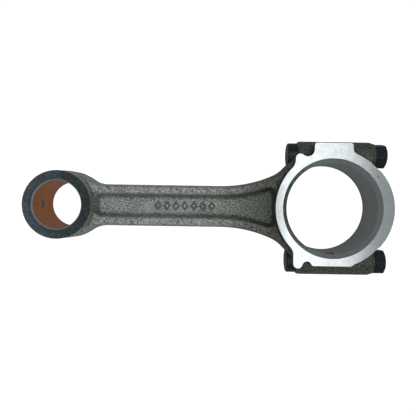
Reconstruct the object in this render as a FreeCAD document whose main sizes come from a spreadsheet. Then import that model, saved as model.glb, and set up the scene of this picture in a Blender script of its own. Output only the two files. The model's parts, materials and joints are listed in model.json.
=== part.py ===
import FreeCAD, Part
import math
import os
import re
import Sketcher

# A forged connecting rod with its bearing cap, cap bolts and nuts, and small-end bush.
# Frame: the origin is the big-end bore's centre at mid-width, +X runs along the rod
# from the small end to the cap, and +Z is the axis of both bores. Millimetres and degrees.

DRIVING_SIZES = {
    # Both ends
    "centre_distance": 165.0,
    "big_end_width": 33.0,
    "small_end_width": 33.0,
    # Small end
    "bush_bore_radius": 14.5,
    "bush_wall": 1.8,
    "eye_wall": 5.0,
    "eye_draft": 3.0,
    "bush_recess": 0.25,
    "bush_chamfer": 0.6,
    "eye_bore_chamfer": 0.4,
    "oil_hole_radius": 2.7,
    # Shank, an I-section with drafted flanks, and the neck that blends it to the eye
    "neck_offset": 4.0,
    "neck_inset": 0.6,
    "neck_fillet": 17.0,
    "shank_width": 26.1,
    "shank_thickness": 20.0,
    "shank_draft": 5.0,
    "flange_width": 6.05,
    "flange_edge_radius": 1.2,
    "web_thickness": 7.0,
    "web_draft": 10.0,
    "web_floor_radius": 2.2,
    "web_corner_radius": 4.0,
    "web_end_inside_eye": 0.6,
    "web_end_to_bore": 5.7,
    # Flare from the shank to the big end
    "flare_to_bore": 39.7,
    "flare_radius": 79.4,
    "flare_angle": 23.5,
    "shoulder_radius": 22.0,
    "shoulder_angle": 53.0,
    "shoulder_below_bolt": 1.0,
    # Big end of the rod
    "housing_bore_radius": 27.5,
    "bore_chamfer_width": 2.5,
    "bore_chamfer_depth": 2.5,
    "ring_wall": 6.8,
    "ring_fillet": 6.0,
    "top_pad_wall": 11.7,
    "top_pad_half_length": 11.5,
    "pad_corner_radius": 0.9,
    "bottom_flat_wall": 6.8,
    "top_lobe_radius": 2.7,
    "top_lobe_x": 20.0,
    "top_lobe_below_bolt": 3.3,
    "top_lobe_side": 1.6,
    "top_notch_radius": 4.0,
    "bottom_lobe_radius": 2.7,
    "bottom_lobe_x": 20.6,
    "bottom_lobe_beyond_bolt": 0.1,
    "bottom_notch_radius": 2.8,
    # Cap
    "cap_shoulder_wall": 7.9,
    "crown_angle": 40.0,
    "crown_wall": 6.2,
    "crown_offset": 3.0,
    "cap_pad_fillet": 3.0,
    "cap_flat_half_length": 11.2,
    "cap_flat_run_out": 1.7,
    "punch_mark_radius": 0.6,
    "punch_mark_wall": 5.3,
    "punch_mark_angle": 35.8,
    # Slots for the bearing shells' tangs, one each side of the split
    "tang_length": 2.6,
    "tang_width": 4.2,
    "tang_depth": 1.2,
    "tang_from_face": 5.0,
    # Cap bolts, their seats and bosses
    "bolt_radius": 4.5,
    "bolt_hole_clearance": 0.05,
    "bolt_hole_to_bore": 1.15,
    "bolt_waist_depth": 0.6,
    "bolt_pilot_length": 14.0,
    "bolt_thread_length": 15.0,
    "bolt_end_chamfer": 0.8,
    "bolt_head_overhang": 3.0,
    "bolt_head_height": 6.1,
    "bolt_head_flat_depth": 1.2,
    "bolt_head_chamfer": 0.7,
    "head_seat_clearance": 0.5,
    "head_flat_clearance": 0.15,
    "seat_to_split": 20.0,
    "boss_wall": 0.7,
    "boss_foot_inset": 6.5,
    "boss_chamfer": 1.2,
    "cap_boss_length": 27.7,
    # Cap nuts and the machined pads that they seat on
    "nut_pad_height": 0.6,
    "nut_pad_inset": 0.8,
    "nut_wall": 2.5,
    "nut_height": 7.4,
    "nut_bore_clearance": 0.05,
    "nut_bore_chamfer": 0.6,
    "nut_face_inset": 0.2,
    "nut_chamfer_angle": 30.0,
    "nut_end_above_bolt": 0.2,
    "top_nut_turn": 14.7,
    "bottom_nut_turn": 0.0,
    # Raised forging mark on the web: a row of open lozenges
    "mark_height": 0.45,
    "mark_half_length": 2.1,
    "mark_half_width": 2.7,
    "mark_stroke": 0.75,
    "mark_pitch": 5.6,
    "mark_middle": 89.5,
}
MARK_COUNT = 7

# Sizes that follow from the driving ones, so that fits and walls keep when one changes
FOLLOWING_SIZES = {
    "bush_seat_radius": "bush_bore_radius + bush_wall",
    "eye_radius": "bush_seat_radius + eye_wall",
    "neck_radius": "eye_radius - neck_inset",
    "web_end_to_eye_centre": "eye_radius - web_end_inside_eye",
    "web_end_to_bore_centre": "housing_bore_radius + web_end_to_bore",
    "flare_start": "housing_bore_radius + flare_to_bore",
    "bolt_hole_radius": "bolt_radius + bolt_hole_clearance",
    "bolt_height": "housing_bore_radius + bolt_hole_to_bore + bolt_hole_radius",
    "shoulder_height": "bolt_height - shoulder_below_bolt",
    "ring_radius": "housing_bore_radius + ring_wall",
    "top_pad_height": "housing_bore_radius + top_pad_wall",
    "bottom_flat_height": "housing_bore_radius + bottom_flat_wall",
    "top_lobe_y": "bolt_height - top_lobe_below_bolt",
    "bottom_lobe_y": "bolt_height + bottom_lobe_beyond_bolt",
    "cap_shoulder_radius": "housing_bore_radius + cap_shoulder_wall",
    "crown_radius": "housing_bore_radius + crown_wall",
    "punch_mark_reach": "housing_bore_radius + punch_mark_wall",
    "bolt_waist_radius": "bolt_radius - bolt_waist_depth",
    "bolt_head_radius": "bolt_radius + bolt_head_overhang",
    "bolt_head_flat": "bolt_head_radius - bolt_head_flat_depth",
    "boss_radius": "bolt_head_radius + head_seat_clearance + boss_wall",
    "boss_foot": "housing_bore_radius - boss_foot_inset",
    "nut_pad_radius": "boss_radius - nut_pad_inset",
    "nut_half_width": "bolt_radius + nut_wall",
    "nut_face_radius": "nut_half_width - nut_face_inset",
}

doc = FreeCAD.newDocument("connecting_rod")
sheet = doc.addObject("Spreadsheet::Sheet", "Sizes")
for row, (alias, value) in enumerate(DRIVING_SIZES.items(), start=1):
    sheet.set(f"A{row}", alias)
    sheet.set(f"B{row}", str(value))
    sheet.setAlias(f"B{row}", alias)
doc.recompute()


# ---- Sizes as expressions -------------------------------------------------------------

def in_sheet(expression):
    """Return an expression in which every size is named as a cell of the sheet."""
    def cell(match):
        word = match.group()
        if word in FOLLOWING_SIZES:
            return f"({in_sheet(FOLLOWING_SIZES[word])})"
        return f"Sizes.{word}" if word in DRIVING_SIZES else word
    return re.sub(r"[a-z][a-z_]*", cell, expression)


def number(expression):
    """Work out an expression of driving sizes as a plain number."""
    result = sheet.evalExpression(in_sheet(expression))
    return float(getattr(result, "Value", result))


def bind(thing, property_name, expression):
    """Bind a property of an object to an expression of driving sizes."""
    thing.setExpression(property_name, in_sheet(expression))


# ---- Sketches -------------------------------------------------------------------------

ORIGIN = (-1, 1)
START = 1
END = 2
CENTRE = 3


def new_body(label):
    """Make an empty body whose label names its file."""
    body = doc.addObject("PartDesign::Body", label)
    body.Label = label
    return body


def new_sketch(body, name, plane_role, height="0"):
    """Attach a sketch to one of its body's own origin planes, at a height above it."""
    sketch = body.newObject("Sketcher::SketchObject", name)
    plane = next(item for item in body.Origin.OriginFeatures if item.Role == plane_role)
    sketch.AttachmentSupport = (plane, [""])
    sketch.MapMode = "FlatFace"
    bind(sketch, "AttachmentOffset.Base.z", height)
    return sketch


def constrain(sketch, kind, places, expression):
    """Add one dimension to a sketch and bind it to an expression."""
    index = sketch.addConstraint(Sketcher.Constraint(kind, *places, number(expression)))
    bind(sketch, f"Constraints[{index}]", expression)


def place(sketch, piece, position, x_expression, y_expression):
    """Fix a point of a sketch piece by its two coordinates."""
    constrain(sketch, "DistanceX", (*ORIGIN, piece, position), x_expression)
    constrain(sketch, "DistanceY", (*ORIGIN, piece, position), y_expression)


def vector(point):
    """Return a sketch point as a FreeCAD vector."""
    return FreeCAD.Vector(point[0], point[1], 0)


def circle(sketch, x_expression, y_expression, radius_expression):
    """Draw a dimensioned circle."""
    centre = FreeCAD.Vector(number(x_expression), number(y_expression), 0)
    shape = Part.Circle(centre, FreeCAD.Vector(0, 0, 1), number(radius_expression))
    piece = sketch.addGeometry(shape)
    place(sketch, piece, CENTRE, x_expression, y_expression)
    constrain(sketch, "Radius", (piece,), radius_expression)


def polygon(sketch, corners):
    """Draw a closed straight-sided outline with each corner at its two expressions."""
    points = [(number(x), number(y)) for x, y in corners]
    count = len(points)
    lines = []
    for index, point in enumerate(points):
        following = points[(index + 1) % count]
        lines.append(sketch.addGeometry(Part.LineSegment(vector(point), vector(following))))
    for index, line in enumerate(lines):
        following = lines[(index + 1) % count]
        sketch.addConstraint(Sketcher.Constraint("Coincident", line, END, following, START))
        place(sketch, line, START, *corners[index])


class Outline:
    """A closed outline of lines and arcs, drawn end to end in a sketch.

    Each piece starts where the last one ended. A smooth joint is tangent.
    """

    def __init__(self, sketch, start):
        self.sketch = sketch
        self.start = start
        self.here = start
        self.pieces = []

    def line(self, to, smooth=False):
        """Draw a straight piece."""
        shape = Part.LineSegment(vector(self.here), vector(to))
        return self.join(self.sketch.addGeometry(shape), START, END, to, smooth)

    def arc(self, centre, to, turn, smooth=False):
        """Draw an arc to a point; turn is +1 anticlockwise or -1 clockwise."""
        first, last = (self.here, to) if turn > 0 else (to, self.here)
        angles = [math.atan2(y - centre[1], x - centre[0]) for x, y in (first, last)]
        if angles[1] < angles[0]:
            angles[1] += 2 * math.pi
        round_shape = Part.Circle(vector(centre), FreeCAD.Vector(0, 0, 1), math.dist(centre, to))
        piece = self.sketch.addGeometry(Part.ArcOfCircle(round_shape, *angles))
        near, far = (START, END) if turn > 0 else (END, START)
        return self.join(piece, near, far, to, smooth)

    def join(self, piece, near, far, to, smooth):
        """Join a new piece to the last one."""
        if self.pieces:
            last, _, last_far = self.pieces[-1]
            kind = "Tangent" if smooth else "Coincident"
            self.sketch.addConstraint(Sketcher.Constraint(kind, last, last_far, piece, near))
        self.pieces.append((piece, near, far))
        self.here = to
        return piece

    def close(self, smooth=False):
        """Join the last piece to the first."""
        last, _, last_far = self.pieces[-1]
        first, first_near, _ = self.pieces[0]
        kind = "Tangent" if smooth else "Coincident"
        self.sketch.addConstraint(Sketcher.Constraint(kind, last, last_far, first, first_near))


def level(sketch, *pieces):
    """Hold lines of a sketch parallel to its X axis."""
    for piece in pieces:
        sketch.addConstraint(Sketcher.Constraint("Horizontal", piece))


def upright(sketch, *pieces):
    """Hold lines of a sketch parallel to its Y axis."""
    for piece in pieces:
        sketch.addConstraint(Sketcher.Constraint("Vertical", piece))


# ---- Features -------------------------------------------------------------------------

def volume(body):
    """Return the volume that a body's tip has."""
    return body.Tip.Shape.Volume if body.Tip else 0.0


def finish(body, feature, before, sign):
    """Recompute a new feature and check that it added (+1) or took away (-1) material."""
    body.Tip = feature
    doc.recompute()
    change = volume(body) - before
    if change * sign <= 0:
        raise RuntimeError(f"{feature.Name} changed {body.Label} by {change}")
    return feature


ADDS = 1
CUTS = -1


def pad(body, sketch, length, back_length="0", taper="0"):
    """Pad a sketch along its normal, and backwards too, narrowing by a draft angle."""
    before = volume(body)
    feature = body.newObject("PartDesign::Pad", f"{sketch.Name}_pad")
    feature.Profile = sketch
    bind(feature, "Length", length)
    bind(feature, "TaperAngle", f"-1 * {taper}")
    if back_length != "0":
        feature.SideType = "Two sides"
        bind(feature, "Length2", back_length)
        bind(feature, "TaperAngle2", f"-1 * {taper}")
    sketch.Visibility = False
    return finish(body, feature, before, ADDS)


def pocket(body, sketch, depth, along_normal=False, taper="0"):
    """Cut a sketch's outline against its normal, or along it."""
    before = volume(body)
    feature = body.newObject("PartDesign::Pocket", f"{sketch.Name}_pocket")
    feature.Profile = sketch
    feature.Reversed = along_normal
    bind(feature, "Length", depth)
    bind(feature, "TaperAngle", f"-1 * {taper}")
    sketch.Visibility = False
    return finish(body, feature, before, CUTS)


def turn(body, sketch, type_name, axis, sign):
    """Turn a sketch a full circle about one of its own axes, adding or cutting."""
    before = volume(body)
    feature = body.newObject(type_name, f"{sketch.Name}_turned")
    feature.Profile = sketch
    feature.ReferenceAxis = (sketch, [axis])
    feature.Angle = 360
    sketch.Visibility = False
    return finish(body, feature, before, sign)


def revolve(body, sketch, axis):
    """Add the solid that a sketch sweeps about its H_Axis or V_Axis."""
    return turn(body, sketch, "PartDesign::Revolution", axis, ADDS)


def groove(body, sketch, axis):
    """Cut the solid that a sketch sweeps about its H_Axis or V_Axis."""
    return turn(body, sketch, "PartDesign::Groove", axis, CUTS)


def dress(body, kind, expression, is_wanted, sign):
    """Fillet or chamfer the wanted edges of the body so far."""
    before = volume(body)
    base = body.Tip
    edges = enumerate(base.Shape.Edges, start=1)
    names = [f"Edge{index}" for index, edge in edges if is_wanted(edge)]
    if not names:
        raise RuntimeError(f"{body.Label} has no edges to {kind.lower()}")
    feature = body.newObject(f"PartDesign::{kind}", f"{body.Label}_{kind.lower()}")
    feature.Base = (base, names)
    bind(feature, "Radius" if kind == "Fillet" else "Size", expression)
    return finish(body, feature, before, sign)


def near(first, second):
    """Tell whether two lengths are the same to a hundredth of a millimetre."""
    return abs(first - second) < 0.01


def lies_at_height(edge, height):
    """Tell whether an edge lies flat at a height above or below mid-width."""
    return near(edge.BoundBox.ZMin, edge.BoundBox.ZMax) and near(abs(edge.BoundBox.ZMin), height)


def stands_at(edge, x, y):
    """Tell whether an edge is a line along Z through a point."""
    box = edge.BoundBox
    return near(box.XMin, x) and near(box.XMax, x) and near(box.YMin, y) and near(box.YMax, y)


def faces_x(edge, x, radius):
    """Tell whether an edge is an arc of a radius in the plane at x."""
    flat = near(edge.BoundBox.XMin, x) and near(edge.BoundBox.XMax, x)
    return flat and hasattr(edge.Curve, "Radius") and near(edge.Curve.Radius, radius)


# ---- Shapes that two pieces share -----------------------------------------------------

def cut_big_end_bore(body):
    """Bore the big end and chamfer both its mouths."""
    sketch = new_sketch(body, f"{body.Label}_bore", "XZ_Plane")
    face = "big_end_width / 2"
    beyond = "big_end_width"
    mouth = "housing_bore_radius + bore_chamfer_width"
    wall = f"{face} - bore_chamfer_depth"
    corners = [("0", f"-{beyond}"), (mouth, f"-{beyond}"), (mouth, f"-{face}")]
    corners += [("housing_bore_radius", f"-({wall})"), ("housing_bore_radius", wall)]
    corners += [(mouth, face), (mouth, beyond), ("0", beyond)]
    polygon(sketch, corners)
    groove(body, sketch, "V_Axis")


def add_bolt_bosses(body, start, length):
    """Add the two bosses that hold the cap bolts, from x = start on along +X."""
    sketch = new_sketch(body, f"{body.Label}_bosses", "YZ_Plane", start)
    radius = number("boss_radius")
    for side in (1, -1):
        middle = side * number("bolt_height")
        inner = side * number("boss_foot")
        outline = Outline(sketch, (inner, -radius))
        lower = outline.line((middle, -radius))
        dome = outline.arc((middle, 0), (middle, radius), side, smooth=True)
        upper = outline.line((inner, radius), smooth=True)
        foot = outline.line((inner, -radius))
        outline.close()
        level(sketch, lower, upper)
        upright(sketch, foot)
        place(sketch, dome, CENTRE, f"{side} * bolt_height", "0")
        constrain(sketch, "Radius", (dome,), "boss_radius")
        constrain(sketch, "DistanceX", (*ORIGIN, foot, START), f"{side} * boss_foot")
    pad(body, sketch, length)


def drill_bolt_holes(body, along_x):
    """Drill both bolt holes from the split, towards +X or -X."""
    sketch = new_sketch(body, f"{body.Label}_bolt_holes", "YZ_Plane")
    for side in (1, -1):
        circle(sketch, f"{side} * bolt_height", "0", "bolt_hole_radius")
    pocket(body, sketch, "centre_distance / 3", along_normal=along_x)


def cut_tang_slot(body, along_x):
    """Cut the slot for a bearing shell's tang into the bottom of the bore at the split."""
    sketch = new_sketch(body, f"{body.Label}_tang_slot", "YZ_Plane")
    bottom = "-(housing_bore_radius + tang_depth)"
    top = "-(housing_bore_radius - tang_depth)"
    high = "big_end_width / 2 - tang_from_face"
    low = f"{high} - tang_width"
    polygon(sketch, [(bottom, low), (top, low), (top, high), (bottom, high)])
    pocket(body, sketch, "tang_length", along_normal=along_x)


# ---- Rod forging ----------------------------------------------------------------------

def flare_points(offset):
    """Return the flare's arc centre, start and end for an outline inset by an offset."""
    start_x = -number("flare_start")
    half_width = number("shank_width / 2")
    radius = number("flare_radius")
    angle = math.radians(number("flare_angle"))
    centre = (start_x, half_width + radius)
    start = (start_x, half_width - offset)
    reach = radius + offset
    end = (centre[0] + reach * math.sin(angle), centre[1] - reach * math.cos(angle))
    return centre, start, end


def mirror(point, side):
    """Return a point on the upper side (+1), or its mirror image on the lower side (-1)."""
    return (point[0], side * point[1])


def add_shank(body):
    """Pad the shank with its neck at the eye and its flare to the big end, with draft."""
    sketch = new_sketch(body, "shank", "XY_Plane")
    half_width = number("shank_width / 2")
    neck_radius = number("neck_radius")
    fillet = number("neck_fillet")
    neck_x = number("neck_offset - centre_distance")
    reach = math.sqrt((neck_radius + fillet) ** 2 - (half_width + fillet) ** 2)
    fillet_centre = (neck_x + reach, half_width + fillet)
    share = neck_radius / (neck_radius + fillet)
    neck_end = (neck_x + reach * share, fillet_centre[1] * share)
    flare_centre, flare_start, flare_end = flare_points(0.0)
    shoulder = number("shoulder_radius")
    angles = [math.radians(number(name)) for name in ("flare_angle", "shoulder_angle")]
    inward = number("flare_radius") - shoulder
    shoulder_centre = (flare_centre[0] + inward * math.sin(angles[0]),
                       flare_centre[1] - inward * math.cos(angles[0]))
    shoulder_end = (shoulder_centre[0] + shoulder * math.sin(angles[1]),
                    shoulder_centre[1] - shoulder * math.cos(angles[1]))
    height = number("shoulder_height")
    top_x = shoulder_end[0] + (height - shoulder_end[1]) / math.tan(angles[1])
    seat_x = -number("seat_to_split")

    # Anticlockwise: down the neck's round end, along the lower side, up and back
    outline = Outline(sketch, mirror(neck_end, 1))
    neck = outline.arc((neck_x, 0), mirror(neck_end, -1), 1)
    low = [outline.arc(mirror(fillet_centre, -1), (fillet_centre[0], -half_width), -1, True),
           outline.line(mirror(flare_start, -1), True),
           outline.arc(mirror(flare_centre, -1), mirror(flare_end, -1), -1, True),
           outline.arc(mirror(shoulder_centre, -1), mirror(shoulder_end, -1), -1, True),
           outline.line((top_x, -height), True)]
    floor = outline.line((seat_x, -height))
    wall = outline.line((seat_x, height))
    roof = outline.line((top_x, height))
    high = [outline.line(shoulder_end),
            outline.arc(shoulder_centre, flare_end, -1, True),
            outline.arc(flare_centre, flare_start, -1, True),
            outline.line((fillet_centre[0], half_width), True),
            outline.arc(fillet_centre, neck_end, -1, True)]
    outline.close(smooth=True)

    place(sketch, neck, CENTRE, "neck_offset - centre_distance", "0")
    constrain(sketch, "Radius", (neck,), "neck_radius")
    upright(sketch, wall)
    level(sketch, floor, roof)
    constrain(sketch, "DistanceX", (*ORIGIN, wall, START), "-seat_to_split")
    flare_x = "-flare_start + flare_radius * sin(flare_angle)"
    shoulder_x = "-flare_start + (flare_radius - shoulder_radius) * sin(flare_angle)"
    shoulder_x += " + shoulder_radius * sin(shoulder_angle)"
    for side, (neck_arc, flank, flare, turn_out, ramp) in ((-1, low), (1, high[::-1])):
        constrain(sketch, "Radius", (neck_arc,), "neck_fillet")
        constrain(sketch, "Radius", (flare,), "flare_radius")
        constrain(sketch, "Radius", (turn_out,), "shoulder_radius")
        level(sketch, flank)
        far = END if side < 0 else START
        constrain(sketch, "DistanceY", (*ORIGIN, flank, far), f"{side} * shank_width / 2")
        constrain(sketch, "DistanceX", (*ORIGIN, flank, far), "-flare_start")
        near_ramp = START if side < 0 else END
        constrain(sketch, "DistanceX", (*ORIGIN, ramp, near_ramp), shoulder_x)
        flare_far = START if side < 0 else END
        constrain(sketch, "DistanceX", (*ORIGIN, flare, flare_far), flare_x)
        edge = floor if side < 0 else roof
        constrain(sketch, "DistanceY", (*ORIGIN, edge, START), f"{side} * shoulder_height")
    half = "shank_thickness / 2"
    return pad(body, sketch, half, half, "shank_draft")


def cut_web_recesses(body):
    """Cut the recess on each side that leaves the flanges and the web."""
    offset = number("flange_width")
    half_width = number("shank_width / 2") - offset
    corner = number("web_corner_radius")
    left_x = number("web_end_to_eye_centre - centre_distance")
    right_x = -number("web_end_to_bore_centre")
    flare_centre, flare_start, _ = flare_points(offset)
    reach = number("flare_radius") + offset
    corner_x = right_x - corner
    corner_drop = math.sqrt((reach + corner) ** 2 - (corner_x - flare_centre[0]) ** 2)
    corner_centre = (corner_x, flare_centre[1] - corner_drop)
    share = reach / (reach + corner)
    flare_end = tuple(a + (b - a) * share for a, b in zip(flare_centre, corner_centre))

    for name, side in (("front_recess", 1), ("back_recess", -1)):
        sketch = new_sketch(body, name, "XY_Plane", f"{side} * shank_thickness / 2")
        outline = Outline(sketch, (left_x, half_width - corner))
        end = outline.line((left_x, corner - half_width))
        arcs = [outline.arc((left_x + corner, corner - half_width),
                            (left_x + corner, -half_width), 1, True)]
        low = outline.line(mirror(flare_start, -1), True)
        low_flare = outline.arc(mirror(flare_centre, -1), mirror(flare_end, -1), -1, True)
        arcs += [outline.arc(mirror(corner_centre, -1), (right_x, -corner_centre[1]), 1, True)]
        far_end = outline.line((right_x, corner_centre[1]), True)
        arcs += [outline.arc(corner_centre, flare_end, 1, True)]
        high_flare = outline.arc(flare_centre, flare_start, -1, True)
        high = outline.line((left_x + corner, half_width), True)
        arcs += [outline.arc((left_x + corner, half_width - corner),
                             (left_x, half_width - corner), 1, True)]
        outline.close(smooth=True)
        upright(sketch, end, far_end)
        level(sketch, low, high)
        for arc in arcs:
            constrain(sketch, "Radius", (arc,), "web_corner_radius")
        for flare in (low_flare, high_flare):
            constrain(sketch, "Radius", (flare,), "flare_radius + flange_width")
        constrain(sketch, "DistanceX", (*ORIGIN, end, START),
                  "web_end_to_eye_centre - centre_distance")
        constrain(sketch, "DistanceX", (*ORIGIN, far_end, START), "-web_end_to_bore_centre")
        constrain(sketch, "DistanceX", (*ORIGIN, low, END), "-flare_start")
        constrain(sketch, "DistanceX", (*ORIGIN, high, START), "-flare_start")
        for line, point, sign in ((low, END, -1), (high, START, 1)):
            constrain(sketch, "DistanceY", (*ORIGIN, line, point),
                      f"{sign} * (shank_width / 2 - flange_width)")
        depth = "(shank_thickness - web_thickness) / 2"
        pocket(body, sketch, depth, along_normal=side < 0, taper="web_draft")


def add_marks(body):
    """Raise the row of open lozenges that marks the front of the web."""
    sketch = new_sketch(body, "forging_marks", "XY_Plane", "web_thickness / 2")
    slope = "sqrt(mark_half_length * mark_half_length + mark_half_width * mark_half_width)"
    inset_x = f"mark_stroke * {slope} / mark_half_width"
    inset_y = f"mark_stroke * {slope} / mark_half_length"
    for index in range(MARK_COUNT):
        middle = f"-mark_middle + {index - (MARK_COUNT - 1) / 2} * mark_pitch"
        outer = ("mark_half_length", "mark_half_width")
        inner = (f"(mark_half_length - {inset_x})", f"(mark_half_width - {inset_y})")
        for reach_x, reach_y in (outer, inner):
            polygon(sketch, [(f"{middle} + {reach_x}", "0"), (middle, reach_y),
                             (f"{middle} - {reach_x}", "0"), (middle, f"-{reach_y}")])
    pad(body, sketch, "mark_height")


def add_eye(body):
    """Pad the small-end eye, drafted from its parting plane to both faces."""
    sketch = new_sketch(body, "eye", "XY_Plane")
    circle(sketch, "-centre_distance", "0", "eye_radius")
    half = "small_end_width / 2"
    pad(body, sketch, half, half, "eye_draft")


LOBE_SIDE_END = "(top_lobe_y - top_lobe_side)"
LOBE_SIDE_X = "(top_lobe_x + top_lobe_radius)"
TOP_FILLET = f"(({LOBE_SIDE_X} ^ 2 + {LOBE_SIDE_END} ^ 2 - ring_radius ^ 2)"
TOP_FILLET += f" / (2 * (ring_radius - {LOBE_SIDE_X})))"


def ring_foot(side_x, fillet):
    """Return the centre and the ring end of the fillet from the ring to a lobe's side."""
    ring = number("ring_radius")
    centre_x = -(side_x + fillet)
    centre_y = math.sqrt((ring + fillet) ** 2 - centre_x ** 2)
    share = ring / (ring + fillet)
    return (centre_x, centre_y), (centre_x * share, centre_y * share)


def add_rod_big_end(body):
    """Pad the full-width half of the big end: ring, top pad, lobes and scallops."""
    sketch = new_sketch(body, "rod_big_end", "XY_Plane")
    pad_x = -number("top_pad_half_length")
    pad_y = number("top_pad_height")
    flat_y = -number("bottom_flat_height")
    lobe, notch = number("top_lobe_radius"), number("top_notch_radius")
    lobe_centre = (-number("top_lobe_x"), number("top_lobe_y"))
    notch_x = pad_x - notch
    rise = math.sqrt((lobe + notch) ** 2 - (notch_x - lobe_centre[0]) ** 2)
    notch_centre = (notch_x, lobe_centre[1] + rise)
    share = lobe / (lobe + notch)
    lobe_start = tuple(a + (b - a) * share for a, b in zip(lobe_centre, notch_centre))
    low_lobe, low_notch = number("bottom_lobe_radius"), number("bottom_notch_radius")
    low_lobe_centre = (-number("bottom_lobe_x"), -number("bottom_lobe_y"))
    run = math.sqrt((low_lobe + low_notch) ** 2 - (flat_y - low_lobe_centre[1]) ** 2)
    low_notch_centre = (low_lobe_centre[0] + run, flat_y)
    share = low_lobe / (low_lobe + low_notch)
    low_lobe_end = tuple(a + (b - a) * share for a, b in zip(low_lobe_centre, low_notch_centre))
    side_x, low_side_x = lobe_centre[0] - lobe, low_lobe_centre[0] - low_lobe
    foot_centre, foot = ring_foot(-side_x, number(TOP_FILLET))
    low_foot_centre, low_foot = ring_foot(-low_side_x, number("ring_fillet"))

    # Anticlockwise from the top of the split: top side, ring, bottom side, split
    outline = Outline(sketch, (0, pad_y))
    roof = outline.line((pad_x, pad_y))
    pad_wall = outline.line((pad_x, notch_centre[1]))
    scallop = outline.arc(notch_centre, lobe_start, -1, True)
    bulge = outline.arc(lobe_centre, (side_x, lobe_centre[1]), 1, True)
    side = outline.line((side_x, foot_centre[1]), True)
    fillet = outline.arc(foot_centre, foot, -1, True)
    ring = outline.arc((0, 0), mirror(low_foot, -1), 1, True)
    low_fillet = outline.arc(mirror(low_foot_centre, -1),
                             (low_side_x, -low_foot_centre[1]), -1, True)
    low_side = outline.line((low_side_x, low_lobe_centre[1]), True)
    low_bulge = outline.arc(low_lobe_centre, low_lobe_end, 1, True)
    low_scallop = outline.arc(low_notch_centre, (low_notch_centre[0] + low_notch, flat_y), -1, True)
    flat = outline.line((0, flat_y))
    split = outline.line((0, pad_y))
    outline.close()

    level(sketch, roof, flat)
    upright(sketch, pad_wall, side, low_side, split)
    place(sketch, roof, START, "0", "top_pad_height")
    constrain(sketch, "DistanceX", (*ORIGIN, roof, END), "-top_pad_half_length")
    constrain(sketch, "Radius", (scallop,), "top_notch_radius")
    constrain(sketch, "Radius", (bulge,), "top_lobe_radius")
    place(sketch, bulge, CENTRE, "-top_lobe_x", "top_lobe_y")
    place(sketch, ring, CENTRE, "0", "0")
    constrain(sketch, "Radius", (ring,), "ring_radius")
    constrain(sketch, "Radius", (fillet,), TOP_FILLET)
    constrain(sketch, "Radius", (low_fillet,), "ring_fillet")
    constrain(sketch, "Radius", (low_bulge,), "bottom_lobe_radius")
    place(sketch, low_bulge, CENTRE, "-bottom_lobe_x", "-bottom_lobe_y")
    constrain(sketch, "Radius", (low_scallop,), "bottom_notch_radius")
    constrain(sketch, "DistanceY", (*ORIGIN, low_scallop, CENTRE), "-bottom_flat_height")
    constrain(sketch, "DistanceY", (*ORIGIN, flat, END), "-bottom_flat_height")
    half = "big_end_width / 2"
    pad(body, sketch, half, half)


def cut_eye_bore(body):
    """Bore the eye for its bush, chamfer both mouths, and drill the oil hole."""
    sketch = new_sketch(body, "eye_bore", "XY_Plane", "small_end_width")
    circle(sketch, "-centre_distance", "0", "bush_seat_radius")
    pocket(body, sketch, "2 * small_end_width")
    height = number("small_end_width / 2")
    radius = number("bush_seat_radius")

    def is_mouth(edge):
        return lies_at_height(edge, height) and near(getattr(edge.Curve, "Radius", 0), radius)

    dress(body, "Chamfer", "eye_bore_chamfer", is_mouth, CUTS)
    hole = new_sketch(body, "oil_hole", "YZ_Plane", "-centre_distance")
    circle(hole, "0", "0", "oil_hole_radius")
    pocket(body, hole, "2 * eye_radius")


def cut_head_seats(body):
    """Cut the two D-shaped seats that the bolt heads sit in."""
    sketch = new_sketch(body, "head_seats", "YZ_Plane", "-seat_to_split")
    radius = number("bolt_head_radius + head_seat_clearance")
    flat = number("bolt_head_flat + head_flat_clearance")
    reach = math.sqrt(radius ** 2 - flat ** 2)
    for side in (1, -1):
        middle = side * number("bolt_height")
        shoulder = middle - side * flat
        outline = Outline(sketch, (shoulder, side * reach))
        wall = outline.line((shoulder, -side * reach))
        dome = outline.arc((middle, 0), (shoulder, side * reach), 1)
        outline.close()
        upright(sketch, wall)
        place(sketch, dome, CENTRE, f"{side} * bolt_height", "0")
        constrain(sketch, "Radius", (dome,), "bolt_head_radius + head_seat_clearance")
        constrain(sketch, "DistanceX", (*ORIGIN, wall, START),
                  f"{side} * (bolt_height - bolt_head_flat - head_flat_clearance)")
    pocket(body, sketch, "centre_distance / 3")


def make_rod_forging():
    """Make the rod from its shank outwards, then machine it."""
    body = new_body("rod_forging")
    add_shank(body)
    cut_web_recesses(body)
    floor = number("web_thickness / 2")
    crest = number("shank_thickness / 2")
    dress(body, "Fillet", "web_floor_radius", lambda edge: lies_at_height(edge, floor), ADDS)
    end_x = -number("seat_to_split + shank_thickness / 2 * tan(shank_draft)")

    def is_crest(edge):
        return lies_at_height(edge, crest) and edge.BoundBox.XMax < end_x - 0.01

    dress(body, "Fillet", "flange_edge_radius", is_crest, CUTS)
    add_marks(body)
    add_eye(body)
    add_rod_big_end(body)
    corners = [(-number("top_pad_half_length"), number("top_pad_height"))]
    dress(body, "Fillet", "pad_corner_radius",
          lambda edge: any(stands_at(edge, *corner) for corner in corners), CUTS)
    add_bolt_bosses(body, "-seat_to_split", "seat_to_split")
    seat_x, boss = -number("seat_to_split"), number("boss_radius")
    dress(body, "Chamfer", "boss_chamfer", lambda edge: faces_x(edge, seat_x, boss), CUTS)
    cut_big_end_bore(body)
    cut_eye_bore(body)
    drill_bolt_holes(body, along_x=False)
    cut_head_seats(body)
    cut_tang_slot(body, along_x=False)
    return body


# ---- Bearing cap ----------------------------------------------------------------------

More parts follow.
